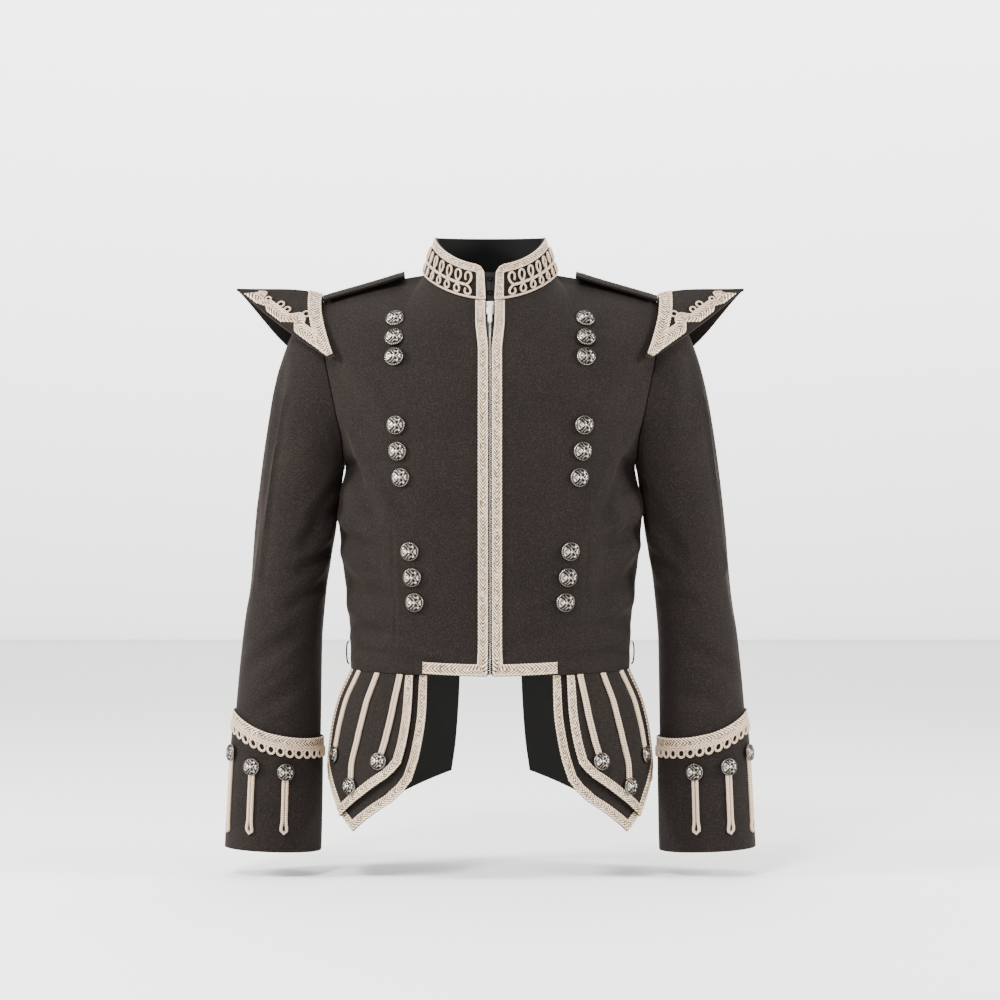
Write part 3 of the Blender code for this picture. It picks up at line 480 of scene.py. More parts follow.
for name, side in SIDES:
    make_panel("front_" + name, "front", BODY_SHARES, side, (0.27, 0.54), 0.118)
make_panel("back", "back", [-share for share in reversed(BODY_SHARES[1:])] + BODY_SHARES, 1,
           (0.50, 0.54), 0.235)

# Sleeves
# One tube each side, of the same wool and lining, set into the armhole with a full cap. The seam
# runs up under the arm. Soft creases gather at the elbow and the cap.
SLEEVE = Sections(
    ("place", "outer_x", "outer_z", "inner_x", "inner_z", "depth", "centre_y", "armhole"),
    (0, 214, -21, 186.5, -240, 62, 0, 1),
    (1, 228, -27, 188, -246, 62, 0, 0.8),
    (2, 244, -47, 189.4, -254, 62, 0, 0.5),
    (3, 259.5, -78, 190.9, -264, 62, 1, 0.22),
    (4, 276.5, -135, 194.3, -286, 61, 2, 0.06),
    (5, 291, -219, 198.8, -322, 60, 4, 0),
    (6, 300, -294, 206, -362, 59, 5, 0),
    (7, 308, -379, 212, -410, 58, 4, 0),
    (8, 317.5, -454, 216, -466, 56, 1, 0),
    (9, 323, -510, 216.5, -516, 54, -3, 0),
    (10, 327, -560, 217, -563, 53, -6, 0),
    (11, 331.5, -620, 217.5, -622, 52, -9, 0),
    (12, 335, -706, 219.5, -708, 52, -12, 0))
SLEEVE_POWER = 2.15
ARMHOLE_DEPTH, ARMHOLE_MIDDLE, ARMHOLE_HALF = 62, -135, 105
SET_IN = 0.4
# Creases of a sleeve: both ends (degrees round from the outer side towards the front, height),
# half-width, depth, where a degree counts as a millimetre. All are deepened by SLEEVE_DEPTH.
SLEEVE_DEPTH = 1.4
SLEEVE_CREASES = {
    "left": (
        ((158, -296), (100, -352), 9, 4.0), ((166, -350), (112, -378), 8, 3.6),
        ((158, -398), (86, -410), 9, 3.2), ((152, -266), (112, -326), 11, 3.6),
        ((250, -330), (200, -372), 12, 2.6), ((40, -110), (70, -200), 12, 2.0),
        ((300, -120), (270, -220), 14, 2.0), ((100, -470), (40, -502), 11, 2.2),
        ((132, -520), (70, -540), 10, 1.9), ((20, -330), (10, -430), 14, 1.6),
        ((36, -150), (30, -420), 4, -2.2)),
    "right": (
        ((160, -288), (104, -340), 10, 4.0), ((164, -342), (102, -372), 8, 3.8),
        ((156, -388), (94, -416), 9, 3.2), ((150, -260), (116, -312), 10, 3.8),
        ((248, -322), (204, -384), 12, 2.8), ((30, -120), (52, -214), 12, 1.8),
        ((296, -126), (266, -230), 14, 2.0), ((104, -456), (48, -494), 11, 2.4),
        ((124, -510), (60, -554), 10, 1.8), ((24, -300), (8, -410), 13, 1.6),
        ((52, -150), (47, -440), 4, -2.4))}


def sleeve_point(place, angle, out=0.0):
    """The sleeve's outer face, degrees round from its outer side towards the front."""
    row = SLEEVE.at(place)
    sine, cosine = math.sin(math.radians(angle)), math.cos(math.radians(angle))
    outer = Vector((row.outer_x, row.centre_y, row.outer_z))
    inner = Vector((row.inner_x, row.centre_y, row.inner_z))
    middle, reach = (outer + inner) / 2, (outer - inner) / 2
    exponent = 2 / SLEEVE_POWER
    point = middle + reach * (1 + out / reach.length) * power(cosine, exponent)
    point.y -= (row.depth + out) * power(sine, exponent)
    return point


def armhole_columns():
    """Armhole points and their angles, from the armpit up the back and down the front."""
    places = spread(ARMPIT, TOP, 36)
    back = [body_point("back", 1, place) for place in places]
    front = [body_point("front", 1, place) for place in reversed(places[:-1])]
    columns = []
    for number, point in enumerate(back + front):
        angle = math.degrees(math.atan2(-point.y / ARMHOLE_DEPTH,
                                        (point.z - ARMHOLE_MIDDLE) / ARMHOLE_HALF)) % 360
        if number == 0:
            angle = 180.25
        if number == len(back) + len(front) - 1:
            angle = 179.75
        columns.append((angle, point))
    return columns


COLUMNS = armhole_columns()
SLEEVE_PLACES = (spread(0, 5, 46, near_low=(0.07, 0.2)) + spread(5, 12, 76)[1:])


def sleeve_spot(place, angle, seam):
    point = sleeve_point(place, angle)
    return point + (seam - sleeve_point(0, angle)) * SLEEVE.at(place).armhole


for name, side in SIDES:
    rows = []
    for place in SLEEVE_PLACES:
        rows.append([mirror(sleeve_spot(place, angle, seam), side) for angle, seam in COLUMNS])
    for point in rows[0]:
        point.x += side * SET_IN

    def sleeve_dent(i, j):
        angle = COLUMNS[j][0]
        edge = min(j, len(COLUMNS) - 1 - j) / 4
        return SLEEVE_DEPTH * crease_depth(SLEEVE_CREASES[name], angle, rows[i][j].z) * min(
            i / 8, edge, 1)

    def sleeve_turn(i, j, normal):
        return Vector((0, normal.y, normal.z)) if i == 0 else normal
    cloth_piece("sleeve_" + name, rows, CLOTH, side, (0.40, 0.70), "hung", 0.235,
                dent=sleeve_dent, turn=sleeve_turn, dips=("first", "last", "bottom"))

# Front braid
# Flat woven silver braid, 12.5 mm wide: a flecked herringbone between two lighter cord edges. It
# is sewn down each front edge beside the zip and turns along the hem with a mitred corner.


class Face:
    """A piece's outer face in flat millimetres, on which trimmings are laid."""

    def __init__(self, point, side=1, facing=1):
        self.point, self.side, self.facing = point, side, facing

    def normal(self, u, v):
        across = self.point(u + 0.4, v) - self.point(u - 0.4, v)
        up = self.point(u, v + 0.4) - self.point(u, v - 0.4)
        return mirror(across.cross(up).normalized() * self.facing, self.side)

    def at(self, u, v, out=0.0):
        here = mirror(self.point(u, v), self.side)
        return here + self.normal(u, v) * out if out else here


def braid_material():
    """Silver braid: herringbone ribs 4.6 mm apart, dark and gilt flecks, light cord edges."""
    made, tree, shader = new_material("silver_braid", Roughness=0.5, Metallic=0.12,
                                      Specular_IOR_Level=0.45)
    uv = add_node(tree, "UVMap", {"uv_map": "cloth"})
    split = add_node(tree, "SeparateXYZ", Vector=uv).node
    middle = add_node(tree, "Math", {"operation": "SUBTRACT"}, _0=split.outputs[0], _1=0.5)
    out = add_node(tree, "Math", {"operation": "ABSOLUTE"}, _0=middle)
    along = add_node(tree, "Math", {"operation": "MULTIPLY"}, _0=split.outputs[1],
                     _1=math.tau / 0.0046)
    slant = add_node(tree, "Math", {"operation": "MULTIPLY_ADD"}, _0=out, _1=24.0, _2=along)
    ribs = add_node(tree, "Math", {"operation": "SINE"}, _0=slant)
    place = add_node(tree, "TexCoord", pick="Object")
    fleck = add_node(tree, "TexNoise", Vector=place, Scale=300.0, Detail=1.0)
    tone = add_node(tree, "Math", {"operation": "MULTIPLY_ADD"}, _0=ribs, _1=0.3, _2=fleck)
    weave = add_node(tree, "ValToRGB", {"stops": (
        (0.26, "#2a2014"), (0.42, "#6b573e"), (0.58, "#a89076"), (0.8, "#e0c9af"))}, Fac=tone)
    edge = add_node(tree, "Math", {"operation": "GREATER_THAN"}, _0=out, _1=0.335)
    twist = add_node(tree, "Math", {"operation": "SINE"}, _0=slant)
    cord = add_node(tree, "ValToRGB", {"stops": ((0.0, "#8a735a"), (0.6, "#eed6bc"))}, Fac=twist)
    mixed = add_node(tree, "Mix", {"data_type": "RGBA"}, 2, _0=edge, _6=weave, _7=cord)
    bump = add_node(tree, "Bump", Strength=0.8, Distance=0.0006, Height=tone)
    connect(tree, shader, Base_Color=mixed, Normal=bump)
    return made


BRAID = braid_material()
# Share across a braid and height above the cloth: a raised cord at each edge
BRAID_PROFILE = ((0, 0.2), (0.02, 1.0), (0.065, 1.4), (0.12, 1.25), (0.165, 0.75), (0.3, 0.9),
                 (0.5, 0.95), (0.7, 0.9), (0.835, 0.75), (0.88, 1.25), (0.935, 1.4),
                 (0.98, 1.0), (1, 0.2))


def ribbon(name, face, edges, node=None, step=4.0, lift=0.12):
    """A flat braid laid on a face. edges pairs the two ends of each line across it."""
    lines = []
    for here, after in zip(edges, edges[1:]):
        here, after = [[Vector(end) for end in pair] for pair in (here, after)]
        gap = max((after[0] - here[0]).length, (after[1] - here[1]).length)
        steps = max(1, round(gap / step))
        lines += [[here[end].lerp(after[end], part / steps) for end in (0, 1)]
                  for part in range(steps)]
    lines.append([Vector(end) for end in edges[-1]])
    rows = [[face.at(*first.lerp(last, share)) for share, _ in BRAID_PROFILE]
            for first, last in lines]
    i, j = len(rows) // 2, len(BRAID_PROFILE) // 2
    outward = face.normal(*lines[i][0].lerp(lines[i][1], 0.5))
    side = 1 if grid_normals(rows, 1)[i][j].dot(outward) > 0 else -1
    made = shell(name + "_woven", rows, 0.0, side, looks=(BRAID, BRAID), lift=lift,
                 profile=BRAID_PROFILE)
    if node:
        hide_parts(node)


def bordered(points, width):
    """Pairs of a border's outer and inner points, mitred at each corner."""
    points = [Vector(point) for point in points]
    pairs = []
    for number, point in enumerate(points):
        before = point - points[number - 1] if number else points[1] - point
        after = points[number + 1] - point if number < len(points) - 1 else before
        first, second = [Vector((-run.y, run.x)) / run.length for run in (before, after)]
        pairs.append((point, point + (first + second) * width / (1 + first.dot(second))))
    return pairs


def on_front(x, z):
    """Share and place on the front at a distance from the centre and a height."""
    place = 0.0
    while place < TOP - 0.2 and BODY.at(place).front_z < z:
        place = round(place + 0.1, 1)
    row = BODY.at(place)
    opening = OPENING.at(z).half
    x_share = min(max((x - opening) / (row.edge_x - opening), 0), 1)
    share = math.asin(x_share ** (RING_POWER / 2)) / math.radians(row.sweep)
    step = 0.002
    for _ in range(6):
        share, place = min(max(share, 0.0), 0.99), min(max(place, 0.0), TOP - 0.01)
        here = body_point("front", share, place)
        by_share = (body_point("front", share + step, place) - here) / step
        by_place = (body_point("front", share, place + step) - here) / step
        miss_x, miss_z = x - here.x, z - here.z
        area = by_share.x * by_place.z - by_place.x * by_share.z
        share += min(max((miss_x * by_place.z - by_place.x * miss_z) / area, -0.1), 0.1)
        place += min(max((by_share.x * miss_z - by_share.z * miss_x) / area, -0.6), 0.6)
    return min(max(share, 0.0), 0.99), min(max(place, 0.0), TOP - 0.01)


@lru_cache(maxsize=None)
def front_point(x, z):
    return body_point("front", *on_front(x, z))


FRONT_BAND, HEM_BAND, HEM_BAND_END = 12.5, 14.3, 84.0
HEM_FOOT, HEM_RISE, EDGE_GAP = -500.3, 2.6, 0.6
for name, side in SIDES:
    face = Face(front_point, side)
    edges = []
    for z in (-30.2, -45, -60, -90, -200, -300, -400, -450, -470):
        start = OPENING.at(z).half + EDGE_GAP
        edges.append(((start, z), (start + FRONT_BAND, z)))
    start = OPENING.at(-500).half + EDGE_GAP
    edges.append(((start, HEM_FOOT), (start + FRONT_BAND, HEM_FOOT + HEM_BAND)))
    for x in (34, 60, HEM_BAND_END):
        foot = HEM_FOOT + HEM_RISE * (x / HEM_BAND_END) ** 2
        edges.append(((x, foot), (x, foot + HEM_BAND)))
    ribbon("front_braid_" + name, face, edges,
           "front_braid_" + name)

# Collar
# A stand collar of the same wool over stiff canvas, open at the centre front, its upper corners
# rounded. Braid edges it, and two rows of looped silver cord are sewn on below.
COLLAR_HEIGHT, COLLAR_CORNER, COLLAR_HALF = 45.0, 12.0, 232.0
COLLAR_BAND, COLLAR_CORD = 10.5, 1.4
LOOP_START, LOOP_PITCH, LOOP_STEPS, CROSSING = 20.5, 13.8, 28, 0.9
# Rows of loops: reach along, middle and half-height, turned over where it is negative
COLLAR_LOOPS = ((7.2, 23.6, 8.6), (6.8, 10.0, -6.2))
# Its upper edge: height at the side, drop to the front, rise to the back, and its three reaches
COLLAR_TOP, COLLAR_DROP, COLLAR_RISE = 55, 41, 4
TOP_HALF_WIDTH, TOP_FRONT, TOP_BACK, TOP_CENTRE = 70.4, 66, 62, -10


def collar_point(angle, rise):
    foot = neck_point(angle)
    sine, cosine = math.sin(math.radians(angle)), math.cos(math.radians(angle))
    if cosine > 0:
        top_z = COLLAR_TOP - COLLAR_DROP * cosine ** 1.3
    else:
        top_z = COLLAR_TOP - COLLAR_RISE * cosine
    top_y = TOP_CENTRE - (TOP_FRONT if cosine > 0 else TOP_BACK) * cosine
    point = foot.lerp(Vector((TOP_HALF_WIDTH * sine, top_y, top_z)), rise)
    point.z += 0.5
    return point


def collar_spot(along, height):
    """A point of the collar by distance from its front edge and from its foot."""
    rise = height / COLLAR_HEIGHT
    first = 3.6 + 2.6 * rise
    return collar_point(first + (180 - first) * along / COLLAR_HALF, rise)


def cord_material():
    """Twisted silver cord: strands 2.2 mm apart that wind round it."""
    made, tree, shader = new_material("silver_cord", Roughness=0.45, Metallic=0.1,
                                      Specular_IOR_Level=0.5)
    along = add_node(tree, "Attribute", {"attribute_name": "along"}, "Fac")
    around = add_node(tree, "Attribute", {"attribute_name": "around"}, "Fac")
    turns = add_node(tree, "Math", {"operation": "MULTIPLY_ADD"}, _0=along,
                     _1=1 / 0.0022, _2=around)
    angle = add_node(tree, "Math", {"operation": "MULTIPLY"}, _0=turns, _1=math.tau)
    strand = add_node(tree, "Math", {"operation": "SINE"}, _0=angle)
    tone = add_node(tree, "ValToRGB", {"stops": (
        (0.0, "#8e775e"), (0.5, "#cbb49a"), (1.0, "#e6cfb8"))}, Fac=strand)
    bump = add_node(tree, "Bump", Strength=0.5, Distance=0.0003, Height=strand)
    connect(tree, shader, Base_Color=tone, Normal=bump)
    return made


CORD = cord_material()


def node_group(name, **inputs):
    """A geometry node group with named inputs, and its input node."""
    tree = bpy.data.node_groups.new(name, "GeometryNodeTree")
    tree.interface.new_socket("Geometry", in_out="INPUT", socket_type="NodeSocketGeometry")
    for key, kind in inputs.items():
        tree.interface.new_socket(key, in_out="INPUT", socket_type="NodeSocket" + kind)
    tree.interface.new_socket("Geometry", in_out="OUTPUT", socket_type="NodeSocketGeometry")
    return tree, tree.nodes.new("NodeGroupInput").outputs


def end_group(tree, geometry, look):
    """Realize what the group makes, give it its material and put it out."""
    real = add_node(tree, "RealizeInstances", Geometry=geometry)
    painted = add_node(tree, "SetMaterial", Geometry=real, Material=look)
    tree.links.new(painted, tree.nodes.new("NodeGroupOutput").inputs[0])
    return tree


def cord_group():
    """A round cord swept along curves, with its length and turn kept for the strands."""
    tree, given = node_group("cord_along_curve", Radius="Float", Look="Material")
    run = add_node(tree, "SplineParameter", pick="Length")
    curve = add_node(tree, "StoreNamedAttribute", Geometry=given["Geometry"],
                     Name="along", Value=run)
    ring = add_node(tree, "CurvePrimitiveCircle", Resolution=8, Radius=given["Radius"])
    turn = add_node(tree, "SplineParameter", pick="Factor")
    ring = add_node(tree, "StoreNamedAttribute", Geometry=ring, Name="around", Value=turn)
    tube = add_node(tree, "CurveToMesh", Curve=curve, Profile_Curve=ring, Fill_Caps=True)
    return end_group(tree, tube, given["Look"])


CORD_GROUP = cord_group()


def grow(name, group, paths, node=None, closed=False, **values):
    """Curves through each path of points in millimetres, made into one mesh by a node group."""
    curve = bpy.data.curves.new(name, "CURVE")
    curve.dimensions = "3D"
    for path in paths:
        spline = curve.splines.new("POLY")
        spline.points.add(len(path) - 1)
        for knot, point in zip(spline.points, path):
            knot.co = (*(point * MM), 1)
        spline.use_cyclic_u = closed
    maker = new_object(name + "_maker", curve)
    modifier = maker.modifiers.new("grow", "NODES")
    modifier.node_group = group
    for item in group.interface.items_tree:
        if item.name in values:
            modifier[item.identifier] = values[item.name]
    graph = bpy.context.evaluated_depsgraph_get()
    mesh = bpy.data.meshes.new_from_object(maker.evaluated_get(graph))
    bpy.data.objects.remove(maker)
    mesh.shade_smooth()
    made = new_object(name, mesh)
    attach(made, BODY_NAME)
    if node:
        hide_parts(node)


def cords(name, paths, radius, node=None, closed=False):
    grow(name, CORD_GROUP, paths, node, closed, Radius=radius * MM, Look=CORD)


def ring(face, u, v, wide, high, out, steps):
    """A closed ring of cord on a face, without its last point."""
    return [face.at(u + wide * math.sin(math.tau * step / steps),
                    v + high * math.cos(math.tau * step / steps), out) for step in range(steps)]


def looped(face, start, end, pitch, reach, middle, half_height, out):
    """A cord that runs along a face in a row of loops, at the top or, if negative, the foot."""
    turns = round((end - start) / pitch)
    path = []
    for step in range(-8, turns * LOOP_STEPS + 9):
        turn = math.tau * step / LOOP_STEPS
        u = start + (end - start) * step / (turns * LOOP_STEPS) - reach * math.sin(turn)
        over = CROSSING * (1 + math.sin(turn)) * (1 if math.cos(turn) > -0.5 else 0.4)
        path.append(face.at(u, middle + half_height * math.cos(turn), out + over))
    return path


half = []
for level in spread(0, 1, 16):
    line = []
    for along in spread(0, COLLAR_HALF, 70, near_low=(0.8, 1.8, 4.5, 7.5)):
        reach = max(COLLAR_CORNER - along, 0)
        drop = COLLAR_CORNER - math.sqrt(COLLAR_CORNER ** 2 - reach ** 2)
        line.append(collar_spot(along, level * (COLLAR_HEIGHT - drop)))
    half.append(line)
rows = [line + [mirror(point, -1) for point in reversed(line[:-1])] for line in half]
cloth_piece("collar", rows, 3.0, 1, (0.47, 0.05), "stretched", 0.022)
corner = [(COLLAR_CORNER - COLLAR_CORNER * math.cos(turn),
           COLLAR_HEIGHT - COLLAR_CORNER + COLLAR_CORNER * math.sin(turn))
          for turn in spread(0, math.pi / 2, 6)]
for name, side in SIDES:
    face = Face(collar_spot, side)
    edge = [(0.0, 0.6), (0.0, 20.0)] + corner
    edge += [(u, COLLAR_HEIGHT) for u in (40.0, 110.0, COLLAR_HALF)]
    ribbon("collar_braid_" + name, face, bordered(edge, -COLLAR_BAND))
    foot = [face.at(u, 1.2, 0.9) for u in spread(0.8, COLLAR_HALF, 90)]
    loops = [looped(face, LOOP_START, COLLAR_HALF - 7, LOOP_PITCH, *loop, 1.1)
             for loop in COLLAR_LOOPS]
    cords("collar_cord_" + name, [foot, *loops], COLLAR_CORD)

# Cuffs
# A deep cuff of the same wool laid over the sleeve's end, its upper edge rising to the outer
# side. Round it run a braid and a row of cord rings, and three doubled cords hang from them.

# The cuff's upper edge at its inner side and its rise to the outer side, the sleeve's end, and
# the cuff's foot at its inner side and its rise to the outer side
CUFF_TOP, CUFF_RISE, SLEEVE_END, CUFF_FOOT, FOOT_RISE = -583, 35, -706, -728, 5.0


def sleeve_place(height):
    """The place in the sleeve's table at a height of its outer side."""
    low, high = 8.0, 12.0
    for _ in range(24):
        middle = (low + high) / 2
        if SLEEVE.at(middle).outer_z > height:
            low = middle
        else:
            high = middle
    return low


def outer_share(angle):
    return (1 + math.cos(math.radians(angle))) / 2


def cuff_top(angle):
    return CUFF_TOP + CUFF_RISE * outer_share(angle) ** 2.5


def cuff_point(angle, height):
    """The cuff's outer face, degrees round from its outer side towards the front."""
    flare = 1.5 * max(-560 - height, 0) / 150
    place = sleeve_place(max(height, SLEEVE_END))
    point = sleeve_point(place, angle, 0.45 + CLOTH + flare)
    below = max(SLEEVE_END - height, 0)
    return Vector((point.x + 0.04 * below, point.y, height))


def by_length(point_at, low, high, steps=240):
    """Turns a line's parameter into its length, and back."""
    places = spread(low, high, steps)
    lengths = [0.0]
    for here, after in zip(places, places[1:]):
        lengths.append(lengths[-1] + (point_at(after) - point_at(here)).length)

    def read(value, known, wanted):
        number = min(max(bisect.bisect(known, value), 1), steps) - 1
        share = (value - known[number]) / (known[number + 1] - known[number])
        return wanted[number] + (wanted[number + 1] - wanted[number]) * share
    return SimpleNamespace(place=lambda length: read(length, lengths, places),
                           length=lambda place: read(place, places, lengths), total=lengths[-1])


CUFF_ROUND = by_length(lambda angle: cuff_point(angle, -600), 0, 360)


def cuff_spot(u, v):
    """The cuff by distance round it, positive towards the back, and distance below its top."""
    angle = -CUFF_ROUND.place(u % CUFF_ROUND.total)
    return cuff_point(angle, cuff_top(angle) + v)


CUFF_BAND, BAR_CORD = 13.0, 2.1
RING_PITCH, RING_WIDE, RING_HIGH, RING_CORD = 11.8, 4.5, 5.0, 1.55
CUFF_BAR_END = -702
# Bars: degrees round from the outer side towards the front, the button's drop below the top
CUFF_BARS = (("outer", 27, 50), ("middle", 66, 50), ("inner", 104, 45))
for name, side in SIDES:
    angles = spread(-179.7, 179.7, 84)
    rows = []
    for share in spread(0, 1, 34):
        rows.append([mirror(cuff_point(angle, cuff_top(angle) * (1 - share) + (
            CUFF_FOOT + FOOT_RISE * outer_share(angle)) * share), side) for angle in angles])
    cloth_piece("cuff_" + name, rows, CLOTH, side, (0.37, 0.18), "stretched", 0.056,
                dips=("first", "last", "bottom"))
    face = Face(cuff_spot, side)
    around = spread(0, CUFF_ROUND.total - 0.3, 80)
    braid = "cuff_braid_" + name
    ribbon(braid, face, [((u, -CUFF_BAND - 0.5), (u, -0.5)) for u in around],
           braid)
    count = round(CUFF_ROUND.total / RING_PITCH)
    rings = [ring(face, CUFF_ROUND.total * (number + 0.5) / count, -CUFF_BAND - 7.0, RING_WIDE,
                  RING_HIGH, 1.2, 20) for number in range(count)]
    edging = [[face.at(u, -CUFF_BAND - 2.0, 1.2) for u in around[:-1]]]
    cords("cuff_rings_" + name, rings + edging, RING_CORD, braid, closed=True)
    bars = []
    for _, angle, drop in CUFF_BARS:
        u = CUFF_ROUND.total - CUFF_ROUND.length(angle)
        top, low = -drop - 4, CUFF_BAR_END - cuff_top(angle)
        side_line = [(BAR_CORD, top), (BAR_CORD, low + 17), (2.5, low + 12), (3.3, low + 7),
                     (3.2, low + 3.6), (2.0, low + 1.2)]
        smooth = []
        for here, after in zip(side_line, side_line[1:]):
            steps = max(1, round((Vector(after) - Vector(here)).length / 3))
            smooth += [Vector(here).lerp(Vector(after), part / steps) for part in range(steps)]
        smooth.append(Vector((0, low)))
        bars.append([face.at(u + spot.x, spot.y, 1.5) for spot in smooth]
                    + [face.at(u - spot.x, spot.y, 1.5) for spot in reversed(smooth[:-1])])
    cords("cuff_bars_" + name, bars, BAR_CORD, braid)

# Shoulder wings
# Stiff boards covered in the same wool, sewn into the top of each armhole, with points hanging
# to the front and back and a sharp tip held out over the arm. Braid follows both edges.
WING_TIP, WING_POINT = Vector((326.0, 0.0, -9.0)), Vector((5, 0, -3))
FRONT_DROOP, REAR_DROOP = (4, 1.0), (22, 1.3)      # how far the free line sags, and its skew
WING_BOARD = 3.0


def wing_inner(along):
    """The wing's inner line, from its front point at -1 over the shoulder to its rear one at 1."""
    reach = abs(along)
    part, facing = ("front", -1) if along < 0 else ("back", 1)
    point = body_point(part, 1, TOP - 3.0 * reach)
    return point + Vector((1.5 - 15 * reach ** 2, facing * (3 * reach + 19 * reach ** 3),
                           4.2 - 2 * reach))


def wing_outer(along):
    """The wing's free line, from the same front point over its tip to the rear one."""
    reach = abs(along)
    end = wing_inner(math.copysign(1, along)) + WING_POINT
    droop, skew = FRONT_DROOP if along < 0 else REAR_DROOP
    bow = math.sin(math.pi * reach ** skew)
    return WING_TIP.lerp(end, reach) + Vector((0.2 * droop * bow, 0, -droop * bow))


def wing_point(along, out):
    point = wing_inner(along).lerp(wing_outer(along), out)
    point.z += 9 * math.sin(math.pi * out) * math.exp(-2 * out) * (1 - along ** 2)
    return point


class WingHalf:
    """Half a wing's upper face in flat millimetres: from its point towards the tip, and in."""

    def __init__(self, half):
        self.half = half
        self.corner = wing_outer(half)
        self.run = (WING_TIP - self.corner).normalized()
        inward = wing_inner(0) - self.corner
        self.width = (inward - self.run * inward.dot(self.run)).length
        self.into = (inward - self.run * inward.dot(self.run)) / self.width
        self.guess = (half * 0.5, 0.5)

    def flat(self, along, out):
        away = wing_point(along * self.half, out) - self.corner
        return Vector((away.dot(self.run), away.dot(self.into)))

    def point(self, u, v):
        along, out, step = 0.5, 0.5, 0.001
        for _ in range(12):
            here = self.flat(along, out)
            by_along = (self.flat(along + step, out) - here) / step
            by_out = (self.flat(along, out + step) - here) / step
            area = by_along.cross(by_out)
            miss = Vector((u, v)) - here
            along = min(max(along + miss.cross(by_out) / area, 0.0), 1.0)
            out = min(max(out + by_along.cross(miss) / area, 0.0), 1.0)
        return wing_point(along * self.half, out)


# The braid of the free edge, which is notched twice: its outer and its inner line, each as a
# distance from the wing's front point and a distance in from the free edge
WING_BRAID = (
    ((5, 0.8), (37, 15.5)), ((66, 0.8), (66, 15.5)), ((70, 2), (72, 22)), ((80, 11), (81, 25)),
    ((94, 0.8), (94, 14.5)), ((121, 0.8), (118, 15)), ((128, 5.5), (126, 15)),
    ((141, 0.8), (138, 9)), ((144, 0.8), (143, 21)), ((163, 0.8), (153, 13.5)))
WING_LINE = Sections(("place", "depth"), *(inner for _, inner in WING_BRAID))
# Small curls of cord that stand on its inner line: place, radius
WING_CURLS = ((76, 4.4), (101, 3.8), (114, 4.2), (133, 3.4))
WING_BAND, WING_SEAM_BAND = 14.5, 18.0
for name, side in SIDES:
    rows = [[mirror(wing_point(along, out), side) for along in spread(-1, 1, 72)]
            for out in spread(0, 1, 22)]
    cloth_piece("wing_" + name, rows, WING_BOARD, -side, (0.22, 0.12), "stretched", 0.0155,
                looks=(WOOL, WOOL))
    for end, half in (("front", -1), ("back", 1)):
        wing = WingHalf(half)
        face = Face(wing.point, side, -half)
        ribbon(f"wing_braid_{end}_{name}", face, WING_BRAID,
               "wing_braid_" + name, step=3.0)
        edges = []
        for along in spread(0.0, 0.96, 14):
            outer, across = wing_inner(along * half), wing_outer(along * half)
            pair = []
            for depth in (0.8, WING_SEAM_BAND):
                share = depth / (across - outer).length
                pair.append(wing.flat(along, min(share, 0.92)))
            edges.append(pair)
        ribbon(f"wing_band_{end}_{name}", face, edges,
               "wing_braid_" + name, step=3.0, lift=0.5)
        paths = [[face.at(u, WING_LINE.at(u).depth + 0.7, 1.4) for u in spread(38, 152, 76)]]
        for u, radius in WING_CURLS:
            v = WING_LINE.at(u).depth + radius + 0.7
            paths.append([face.at(u + radius * math.cos(math.tau * step / 18),
                                  v + radius * math.sin(math.tau * step / 18), 1.5)
                          for step in range(19)])
        cords(f"wing_cord_{end}_{name}", paths, 1.2)

# Shoulder straps
# Narrow double straps of the same wool, caught in the armhole seam and running up to the neck,
# stitched all round near the edge.


# Distances from the centre of the strap's two ends, its half-width and the stitches' depth
STRAP_END, STRAP_START, STRAP_HALF, STITCH = 111, 214.2, 23.0, 0.6


def strap_point(along, across):
    x = STRAP_END + (STRAP_START - STRAP_END) * along
    seam_z = shoulder_seam((x - NECK_HALF_WIDTH) / (SHOULDER_END.x - NECK_HALF_WIDTH)).z
    return Vector((x, STRAP_HALF * across, seam_z + 3.5 + 6 * (1 - along) ** 3 - 7 * across ** 2))


for name, side in SIDES:
    rows = [[mirror(strap_point(along, across), side) for across in spread(-1, 1, 16)]
            for along in spread(0, 1, 30)]

    def stitch_line(i, j):
        return STITCH if i in (1, len(rows) - 2) or j in (1, len(rows[0]) - 2) else 0.0
    cloth_piece("strap_" + name, rows, 3.0, -side, (0.048, 0.10), "laid", dent=stitch_line,
                looks=(WOOL, WOOL))

# Skirt flaps
# Three flaps a side hang below the hem: an upper pointed one in front, a longer one under it,
# and a plain one behind. Each is wool over a firm canvas, sprung out over the hip, with braid
# round its free edges. Three doubled cords fan down the upper one, each to a button.
SKIRT = Sections(
    ("height", "half_width", "front", "back"),
    (-700, 209, 141, 134), (-640, 209, 136, 128), (-610, 207.5, 132, 124),
    (-570, 203, 126, 116), (-540, 196, 121, 108), (-495, 178, 113, 98))
FLAP_SIDES = {
    "over": Sections(
        ("height", "inner", "outer"),
        (-690, 128, 207), (-620, 114, 207), (-577, 103, 203), (-540, 98, 195), (-495, 96, 176)),
    "under": Sections(
        ("height", "inner", "outer"),
        (-700, 116, 206), (-640, 106, 206), (-596, 93, 204), (-540, 85, 193), (-495, 84, 174)),
    "rear": Sections(
        ("height", "inner", "outer"),
        (-700, 60, 208.5), (-640, 52, 208.5), (-596, 46, 206), (-540, 42, 195.5),
        (-495, 40, 177))}
FLAP_HEMS = {
    "over": ((0, -609), (0.035, -618.5), (0.085, -627), (0.3, -650), (0.61, -679), (0.8, -651),
             (1, -621)),
    "under": ((0, -630), (0.04, -643), (0.13, -658), (0.53, -697), (0.75, -676), (1, -650)),
    "rear": ((0, -640), (0.25, -668), (0.5, -694), (0.75, -668), (1, -640))}
FLAP_INSET = {"over": 0.0, "under": 5.5, "rear": 0.0}
